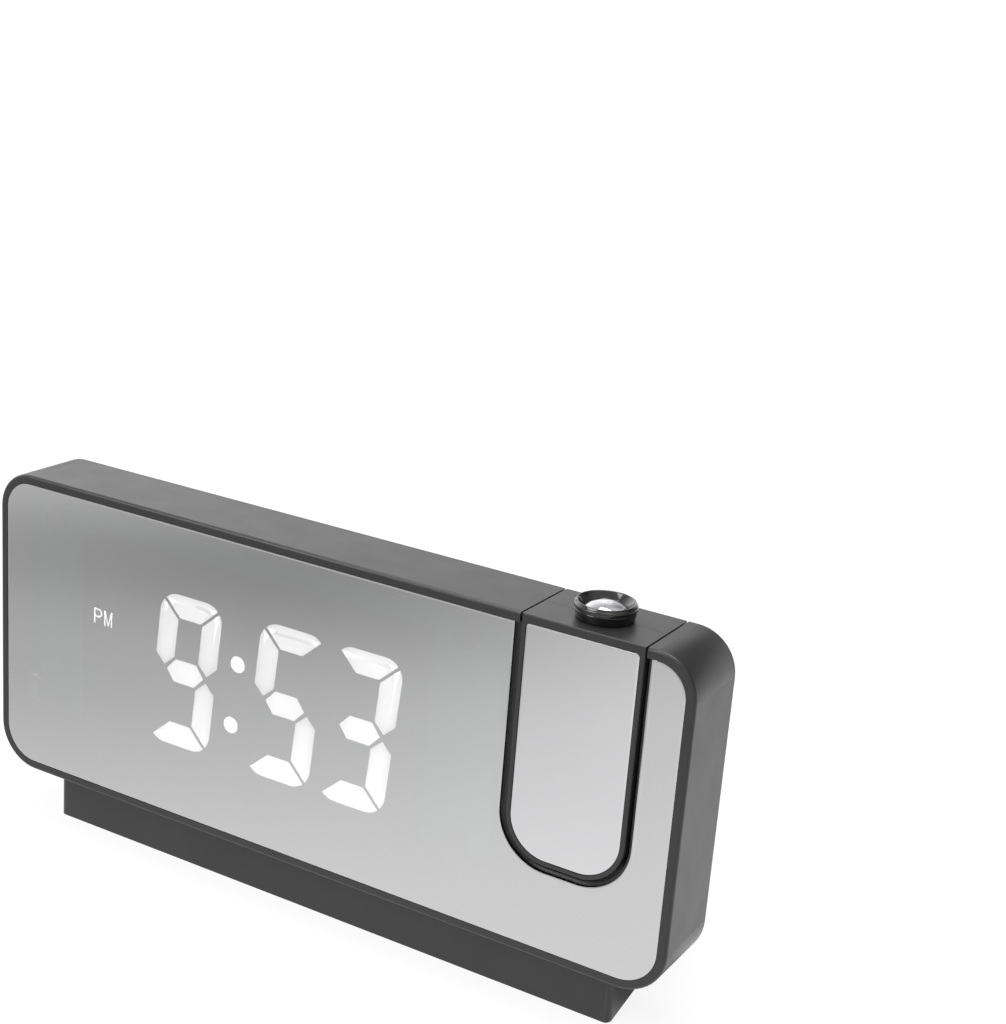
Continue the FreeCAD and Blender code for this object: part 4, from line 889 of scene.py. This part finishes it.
@dataclass
class RearKeys:
    """The four round keys and the long rocking pad, with their raised marks."""

    pitch: float = 16.15
    height: float = 46.75
    radius: float = 5.1
    face: float = 20.18
    back: float = 16.7
    edge: float = 0.45
    dish: float = 0.12
    flange: float = 5.9
    flange_depth: float = 17.4
    stem: float = 1.6
    stem_end: float = 16.05
    mark_radius: float = 0.09
    pad_back: float = 16.95
    pad_width: float = 42.4
    pad_height: float = 14.5
    pad_middle: float = 63.9

    def key_profile(self) -> list[tuple[float, float]]:
        """A key's profile: a slightly dished face, a soft edge, a flange and a stem."""
        across = np.linspace(0.0, self.radius - self.edge, 12)
        dished = self.face - self.dish * (1.0 - (across / across[-1]) ** 2)
        profile = list(zip(across, dished))
        profile += arc(self.radius - self.edge, self.face - self.edge, self.edge, 75.0, 0.0, 6)
        profile += [(self.radius, self.flange_depth), (self.flange, self.flange_depth),
                    (self.flange, self.back), (self.stem, self.back), (self.stem, self.stem_end),
                    (0.0, self.stem_end)]
        return profile

    def mark(self, paths: Sequence[Path], depth: float) -> Shape:
        """Raised line work: each path becomes a half-sunk round bead.

        A bead's ring is a circle in the plane across the path's direction.

        Args:
            paths: (x, v) points of each line.
            depth: the depth of the beads' middles.

        Returns:
            The beads as one shape.
        """
        shapes = []
        angle = np.linspace(0.0, 2.0 * np.pi, 8, endpoint=False)
        for path in paths:
            line = np.asarray(path, float)
            along = np.gradient(line, axis=0)
            along /= np.maximum(np.linalg.norm(along, axis=1, keepdims=True), 1e-9)
            side = np.stack([-along[:, 1], along[:, 0]], axis=1)
            x = line[:, 0][:, None] + side[:, 0][:, None] * self.mark_radius * np.cos(angle)[None, :]
            v = line[:, 1][:, None] + side[:, 1][:, None] * self.mark_radius * np.cos(angle)[None, :]
            w = depth + np.broadcast_to(self.mark_radius * np.sin(angle)[None, :], x.shape)
            shapes.append(Shape(BODY.place(x, w, v).reshape(-1, 3), grid_faces(len(line), len(angle))))
        return Shape.joined(shapes)

    def key_marks(self) -> list[list[list[tuple[float, float]]]]:
        """Plain line marks for the four keys: a bell, a clock face, a sun and a note."""
        circle = arc(0.0, 0.0, 2.0, 0.0, 360.0, 25)
        bell = [arc(0.0, 0.3, 1.4, 0.0, 180.0, 13) + [(-1.9, -1.2), (1.9, -1.2), (1.4, 0.3)],
                arc(0.0, -1.4, 0.5, 200.0, 340.0, 7)]
        clock = [circle, [(0.0, 1.2), (0.0, 0.0), (0.9, -0.5)]]
        rays = [[(1.5 * math.cos(t), 1.5 * math.sin(t)), (2.3 * math.cos(t), 2.3 * math.sin(t))]
                for t in np.radians(np.arange(0, 360, 45))]
        sun = [arc(0.0, 0.0, 0.95, 0.0, 360.0, 17)] + rays
        note = [[(0.7, -1.2), (0.7, 1.7), (-1.0, 1.3), (-1.0, -1.6)], arc(0.25, -1.2, 0.45, 0.0, 360.0, 11),
                arc(-1.45, -1.6, 0.45, 0.0, 360.0, 11)]
        return [bell, clock, sun, note]

    def build(self, maker: Maker) -> None:
        """Makes the keys, the pad and their marks."""
        profile = self.key_profile()
        for index, marks in enumerate(self.key_marks()):
            x = (index - 1.5) * self.pitch
            body = f"key_{index + 1}_body"
            shape = turned(profile, (x, self.height), Across.DEPTH, 72, closed=False)
            maker.piece(f"round_key_{index + 1}", shape, SATIN_KEY, body, "key_black", [f"key_{index + 1}"])
            placed = [[(x - px, self.height + pv) for px, pv in path] for path in marks]
            raised = self.mark(placed, self.face - 0.1)
            maker.piece(f"key_mark_{index + 1}", raised, SATIN_KEY, body, "key_black")
        half_w, half_h = self.pad_width / 2, self.pad_height / 2
        outline = rounded_outline(-half_w, half_w, self.pad_middle - half_h, self.pad_middle + half_h,
                                  (half_h - 0.01,) * 4, 24)
        steps = [(1.6, self.face - 0.06), (0.9, self.face - 0.03), (0.55, self.face), (0.25, self.face - 0.08),
                 (0.08, self.face - 0.25), (0.0, self.face - 0.5), (0.0, self.pad_back)]
        maker.piece("rocking_pad", plate(outline, steps), SATIN_KEY, Body.PAD.value, "key_black", ["long_pad"])
        screen = [[(10.2, 60.9), (14.2, 60.9), (14.2, 63.3), (10.2, 63.3), (10.2, 60.9)]]
        beams = [[(12.2 + dx, 64.0), (12.2 + dx * 1.6, 65.4)] for dx in (-1.6, -0.6, 0.6, 1.6)]
        ring = [arc(-10.6, 62.6, 2.6, 0.0, 360.0, 33)]
        shape = self.mark(screen + beams + ring, self.face - 0.075)
        maker.piece("pad_marks", shape, SATIN_KEY, Body.PAD.value, "key_black")


@dataclass
class RoundLabel:
    """The round paper label with a dial of plain numbers."""

    x: float = -46.6
    height: float = 61.45
    radius: float = 7.55
    dial: float = 6.2
    number_size: float = 1.75
    print_depth: float = 0.008
    first_turn: float = 128.0
    thickness: float = 0.09
    gap: float = 0.005

    def build(self, maker: Maker) -> None:
        """Makes the paper disc and its printed numbers."""
        face = BODY.depth + self.thickness
        seat = BODY.depth + self.gap
        profile = [(0.0, face), (self.radius - 0.05, face), (self.radius, face - 0.03), (self.radius, seat),
                   (0.0, seat)]
        shape = turned(profile, (self.x, self.height), Across.DEPTH, 96, closed=False)
        maker.piece("label_paper_disc", shape, PAPER_WHITE, Body.CLOCK.value, "label_white", ["round_label"])
        shapes = [self.number(hour, face) for hour in range(1, 13)]
        maker.piece("label_numbers", Shape.joined(shapes), PRINT_BLACK, Body.CLOCK.value, "label_white")

    def number(self, hour: int, face: float) -> Shape:
        """One printed number, turned so that its top points outwards.

        Args:
            hour: the number.
            face: the paper's depth.

        Returns:
            The number as thin raised print.
        """
        curve = bpy.data.curves.new("number", "FONT")
        curve.body = str(hour)
        curve.align_x = "CENTER"
        curve.align_y = "CENTER"
        curve.size = self.number_size
        curve.extrude = self.print_depth
        holder = bpy.data.objects.new("number", curve)
        bpy.context.scene.collection.objects.link(holder)
        bpy.context.view_layer.update()
        view = bpy.context.evaluated_depsgraph_get()
        mesh = bpy.data.meshes.new_from_object(holder.evaluated_get(view))
        bpy.data.objects.remove(holder)
        flat = np.zeros(len(mesh.vertices) * 3)
        mesh.vertices.foreach_get("co", flat)
        flat = flat.reshape(-1, 3)
        turn = math.radians(30.0 * hour - self.first_turn)
        right = flat[:, 0] * math.cos(turn) + (flat[:, 1] + self.dial) * math.sin(turn)
        up = -flat[:, 0] * math.sin(turn) + (flat[:, 1] + self.dial) * math.cos(turn)
        points = BODY.place(self.x - right, face + self.print_depth / 2 + flat[:, 2], self.height + up)
        faces = [list(polygon.vertices) for polygon in mesh.polygons]
        bpy.data.meshes.remove(mesh)
        return Shape(points, faces)


@dataclass
class CarriedParts:
    """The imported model's own nodes, each with its finish, and softened edges on the shells."""

    finishes: dict[str, Finish] = field(default_factory=lambda: {
        "housing": SATIN_BLACK, "rear_cover": SATIN_COVER, "cover_screws": DARK_SCREW,
        "stand_foot": SATIN_BLACK, "foot_screws": DARK_SCREW, "display_frame": WELL_BLACK,
        "colon_lights": PLAIN_GLOW, "display_board": BOARD_GREEN, "display_board_screws": BRIGHT_STEEL,
        "light_chips": CHIP, "power_socket_shell": BRIGHT_STEEL, "power_socket_tongue": MATTE_BLACK,
        "key_board": BOARD_GREEN, "key_board_screws": BRIGHT_STEEL, "push_switches": MATTE_BLACK,
        "speaker_gasket": FOAM, "speaker_frame": BRIGHT_STEEL, "speaker_magnet": BRIGHT_STEEL,
        "speaker_cone": CONE_PAPER, "battery_holder": MATTE_BLACK, "battery_contact_minus": BRASS_STRIP,
        "battery_contact_plus": BRASS_STRIP, "coin_cell": CELL_STEEL, "battery_cover": SATIN_COVER,
        "arm_front_shell": SATIN_BLACK, "arm_rear_shell": SATIN_BLACK, "pivot_sleeve": BRASS_STRIP,
        "pivot_pin": BRIGHT_STEEL, "pivot_washer": BRIGHT_STEEL, "pivot_clip": BRIGHT_STEEL,
        "arm_cable": MATTE_BLACK, "projector_tube": MATTE_BLACK, "image_slide": LENS_GLASS,
        "condenser_lens": LENS_GLASS, "projector_board": BOARD_GREEN, "projector_led": CHIP,
    })
    softened: tuple[str, ...] = ("housing", "rear_cover", "stand_foot", "arm_front_shell", "arm_rear_shell",
                                 "battery_cover")
    edge: float = 0.00018

    def dress(self, nodes: dict[str, bpy.types.Object]) -> None:
        """Gives each node its finish and softens the shells' sharp edges.

        Args:
            nodes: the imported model's nodes by name.
        """
        for name, finish in self.finishes.items():
            piece = nodes[name]
            piece.data.materials.clear()
            piece.data.materials.append(finish.material())
            log.info("%s: %s", name, finish.name)
        for name in self.softened:
            self.soften(nodes[name])

    def soften(self, piece: bpy.types.Object) -> None:
        """Joins a node's loose faces and rounds its sharp edges a little."""
        weld = piece.modifiers.new("weld", "WELD")
        weld.merge_threshold = 1e-6
        bevel = piece.modifiers.new("soft_edges", "BEVEL")
        bevel.width = self.edge
        bevel.segments = 2
        bevel.limit_method = "ANGLE"
        bevel.angle_limit = math.radians(50.0)
        bevel.use_clamp_overlap = True
        bevel.miter_outer = "MITER_ARC"


# Studio


@dataclass(frozen=True)
class FloorPatch:
    """A round patch of painted reflection light on the floor: its shine changes smoothly, as painted shade
    where it dims and painted light where it brightens, seen only in reflections, in metres.
    """

    centre: Place
    inner: float
    outer: float
    middle_shine: float
    outer_shine: float = 1.0


@dataclass(frozen=True)
class Lamp:
    """A soft square lamp: its name, its place and side in metres, and its light in watts."""

    name: str
    place: Place
    size: float
    power: float


@dataclass
class Studio:
    """The camera at the photograph's angle, a pale floor and soft light."""

    camera_place: Place = (0.2248, -0.2884, 0.2927)
    azimuth: float = 31.68
    elevation: float = 28.21
    roll: float = -2.19
    focal_pixels: float = 1862.0
    image_height: float = 1024.0
    sensor: float = 36.0
    floor_reach: float = 6.0
    floor_grey: float = 0.80
    shown_grey: float = 0.16
    shown_glow: float = 0.86
    # The floor's shine in reflections is painted light: the first patch fades it with distance, the next two
    # are painted shade before the clock, the fourth is a painted contact shadow by the plinth's end, and the
    # last is a painted bright patch beside the right end.
    patches: tuple[FloorPatch, ...] = (
        FloorPatch((0.05, -0.05, 0.0), 0.15, 1.1, 1.0, 0.62),
        FloorPatch((-0.30, -0.45, 0.0), 0.0, 0.30, 0.54),
        FloorPatch((-0.26, -0.22, 0.0), 0.06, 0.34, 0.66),
        FloorPatch((0.085, -0.002, 0.0), 0.006, 0.016, 0.28),
        FloorPatch((0.16, 0.06, 0.0), 0.04, 0.14, 1.35),
    )
    lamps: tuple[Lamp, ...] = (
        Lamp("key", (-0.7, -0.9, 1.3), 0.9, 12.0),
        Lamp("top", (0.0, 0.42, 1.3), 1.0, 12.0),
    )
    lit_point: Place = (0.0, 0.0, 0.05)
    wall_strength: float = 2.4
    back_wall: tuple[tuple[float, float], ...] = (
        (-0.78, 1.0), (-0.46, 0.76), (-0.25, 0.42), (-0.04, 0.06), (0.12, 0.03), (0.6, 0.10))
    ceiling: float = 0.36
    front_wall: float = 0.36

    def camera(self) -> None:
        """Sets the camera by its place and angles; its lens is the focal length in shares of the height."""
        a, e = math.radians(self.azimuth), math.radians(self.elevation)
        back = Vector((math.sin(a) * math.cos(e), -math.cos(a) * math.cos(e), math.sin(e)))
        level = Vector((math.cos(a), math.sin(a), 0.0))
        up = back.cross(level)
        turn = math.radians(self.roll)
        right = level * math.cos(turn) + up * math.sin(turn)
        tall = up * math.cos(turn) - level * math.sin(turn)
        lens = bpy.data.cameras.new("view")
        lens.sensor_width = self.sensor
        lens.lens = self.focal_pixels / self.image_height * self.sensor
        lens.clip_start, lens.clip_end = 0.01, 50.0
        camera = bpy.data.objects.new("view", lens)
        bpy.context.scene.collection.objects.link(camera)
        camera.matrix_world = Matrix((
            (right.x, tall.x, back.x, self.camera_place[0]),
            (right.y, tall.y, back.y, self.camera_place[1]),
            (right.z, tall.z, back.z, self.camera_place[2]),
            (0.0, 0.0, 0.0, 1.0),
        ))
        bpy.context.scene.camera = camera

    def floor(self) -> None:
        """Lays the floor: plain white to the camera, lit grey to soft light, and painted light and shade in
        reflections.
        """
        reach = self.floor_reach
        mesh = bpy.data.meshes.new("floor")
        corners = [(-reach, -reach, 0.0), (reach, -reach, 0.0), (reach, reach, 0.0), (-reach, reach, 0.0)]
        mesh.from_pydata(corners, [], [(0, 1, 2, 3)])
        floor = bpy.data.objects.new("floor", mesh)
        bpy.context.scene.collection.objects.link(floor)
        tree = Tree("pale_floor")
        tree.shader.inputs["Base Color"].default_value = (*(self.floor_grey,) * 3, 1.0)
        tree.shader.inputs["Roughness"].default_value = 0.9
        tree.shader.inputs["Specular IOR Level"].default_value = 0.0
        shown = tree.add("ShaderNodeBsdfDiffuse")
        shown.inputs["Color"].default_value = (*(self.shown_grey,) * 3, 1.0)
        glow = tree.add("ShaderNodeEmission")
        glow.inputs["Strength"].default_value = self.shown_glow
        both = tree.add("ShaderNodeAddShader")
        tree.link(shown.outputs[0], both.inputs[0])
        tree.link(glow.outputs[0], both.inputs[1])
        path = tree.add("ShaderNodeLightPath")
        mix = tree.add("ShaderNodeMixShader")
        tree.link(path.outputs["Is Camera Ray"], mix.inputs["Fac"])
        tree.link(self.unseen_floor(tree, path), mix.inputs[1])
        tree.link(both.outputs[0], mix.inputs[2])
        output = next(node for node in tree.nodes if node.type == "OUTPUT_MATERIAL")
        tree.link(mix.outputs[0], output.inputs["Surface"])
        mesh.materials.append(tree.material)

    def world(self) -> None:
        """Lights the room: white behind, bright to the left and dim to the right in reflections."""
        world = bpy.data.worlds.new("studio")
        bpy.context.scene.world = world
        world.use_nodes = True
        nodes, links = world.node_tree.nodes, world.node_tree.links
        nodes.clear()
        output = nodes.new("ShaderNodeOutputWorld")
        plain = nodes.new("ShaderNodeBackground")
        plain.inputs["Color"].default_value = (1.0, 1.0, 1.0, 1.0)
        plain.inputs["Strength"].default_value = 1.0
        soft = nodes.new("ShaderNodeBackground")
        place = nodes.new("ShaderNodeTexCoord")
        parts = nodes.new("ShaderNodeSeparateXYZ")
        links.new(place.outputs["Generated"], parts.inputs[0])
        ramp = nodes.new("ShaderNodeValToRGB")
        half = nodes.new("ShaderNodeMapRange")
        half.inputs["From Min"].default_value = -1.0
        links.new(parts.outputs["X"], half.inputs["Value"])
        links.new(half.outputs["Result"], ramp.inputs["Fac"])
        ramp.color_ramp.interpolation = "EASE"
        stops = ramp.color_ramp.elements
        for index, (across, level) in enumerate(self.back_wall):
            stop = stops[index] if index < 2 else stops.new(0.5)
            stop.position = (across + 1.0) / 2.0
            stop.color = (level, level, level, 1.0)
        up, away = parts.outputs["Z"], parts.outputs["Y"]
        wall = self.blend_values(nodes, links, ramp.outputs["Color"], self.ceiling, up, 0.3, 0.8)
        whole = self.blend_values(nodes, links, wall, self.front_wall, away, 0.15, -0.3)
        scaled = nodes.new("ShaderNodeMath")
        scaled.operation = "MULTIPLY"
        scaled.inputs[1].default_value = self.wall_strength
        links.new(whole, scaled.inputs[0])
        links.new(scaled.outputs[0], soft.inputs["Strength"])
        path = nodes.new("ShaderNodeLightPath")
        mix = nodes.new("ShaderNodeMixShader")
        links.new(path.outputs["Is Camera Ray"], mix.inputs["Fac"])
        links.new(soft.outputs[0], mix.inputs[1])
        links.new(plain.outputs[0], mix.inputs[2])
        links.new(mix.outputs[0], output.inputs["Surface"])

    def blend_values(self, nodes: bpy.types.Nodes, links: bpy.types.NodeLinks, first: bpy.types.NodeSocket,
                     second: float, chooser: bpy.types.NodeSocket, start: float,
                     end: float) -> bpy.types.NodeSocket:
        """One value that gives way smoothly to a plain number.

        Args:
            nodes, links: the node tree's own.
            first: the value at the chooser's start.
            second: the number at its end.
            chooser: the value that decides.
            start, end: where the change starts and ends.

        Returns:
            The blended value's socket.
        """
        share = nodes.new("ShaderNodeMapRange")
        share.interpolation_type = "SMOOTHSTEP"
        share.inputs["From Min"].default_value = min(start, end)
        share.inputs["From Max"].default_value = max(start, end)
        share.inputs["To Min"].default_value = 0.0 if start < end else 1.0
        share.inputs["To Max"].default_value = 1.0 if start < end else 0.0
        links.new(chooser, share.inputs["Value"])
        mix = nodes.new("ShaderNodeMix")
        links.new(share.outputs["Result"], mix.inputs[0])
        links.new(first, mix.inputs[2])
        mix.inputs[3].default_value = second
        return mix.outputs[0]

    def unseen_floor(self, tree: Tree, path: Node) -> bpy.types.NodeSocket:
        """The floor for every ray but the camera's: plain to soft light, and patched in reflections.

        In reflections its shine is painted: it falls off with distance, is darkened by painted shade in two
        patches before the clock and by a painted contact shadow close to the plinth's end, and is made a little
        brighter beside the clock's right end by painted light.

        Args:
            tree: the floor's node tree.
            path: its light path node.

        Returns:
            The shader socket.
        """
        shines = [tree.by_distance(patch.centre, patch.inner, patch.outer, patch.middle_shine,
                                   patch.outer_shine) for patch in self.patches]
        shine = shines[0]
        for more in shines[1:]:
            shine = tree.product(shine, more)
        glow = tree.add("ShaderNodeEmission")
        tree.link(shine, glow.inputs["Strength"])
        mix = tree.add("ShaderNodeMixShader")
        tree.link(path.outputs["Is Glossy Ray"], mix.inputs["Fac"])
        tree.link(tree.shader.outputs["BSDF"], mix.inputs[1])
        tree.link(glow.outputs[0], mix.inputs[2])
        return mix.outputs[0]

    def hang(self, lamp: Lamp) -> None:
        """Hangs one soft square lamp that faces the clock."""
        light = bpy.data.lights.new(lamp.name, "AREA")
        light.size = lamp.size
        light.energy = lamp.power
        hung = bpy.data.objects.new(lamp.name, light)
        bpy.context.scene.collection.objects.link(hung)
        hung.location = lamp.place
        hung.rotation_mode = "QUATERNION"
        hung.rotation_quaternion = (Vector(lamp.place) - Vector(self.lit_point)).to_track_quat("Z", "Y")

    def build(self) -> None:
        """Sets up the whole studio."""
        scene = bpy.context.scene
        scene.view_settings.view_transform = "Standard"
        self.camera()
        self.floor()
        self.world()
        for lamp in self.lamps:
            self.hang(lamp)
        log.info("studio ready")


def main() -> None:
    """Builds the studio and every piece, in order."""
    logging.basicConfig(level=logging.INFO, format="%(name)s %(message)s")
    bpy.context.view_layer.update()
    Studio().build()
    maker = Maker()
    CarriedParts().dress(frame["nodes"])
    parts = (MirrorFront(), ArmMirror(), Digits(), AfternoonSign(), FocusRing(), FrontLens(), RearKeys(),
             RoundLabel())
    for part in parts:
        part.build(maker)


if __name__ == "__main__":
    main()
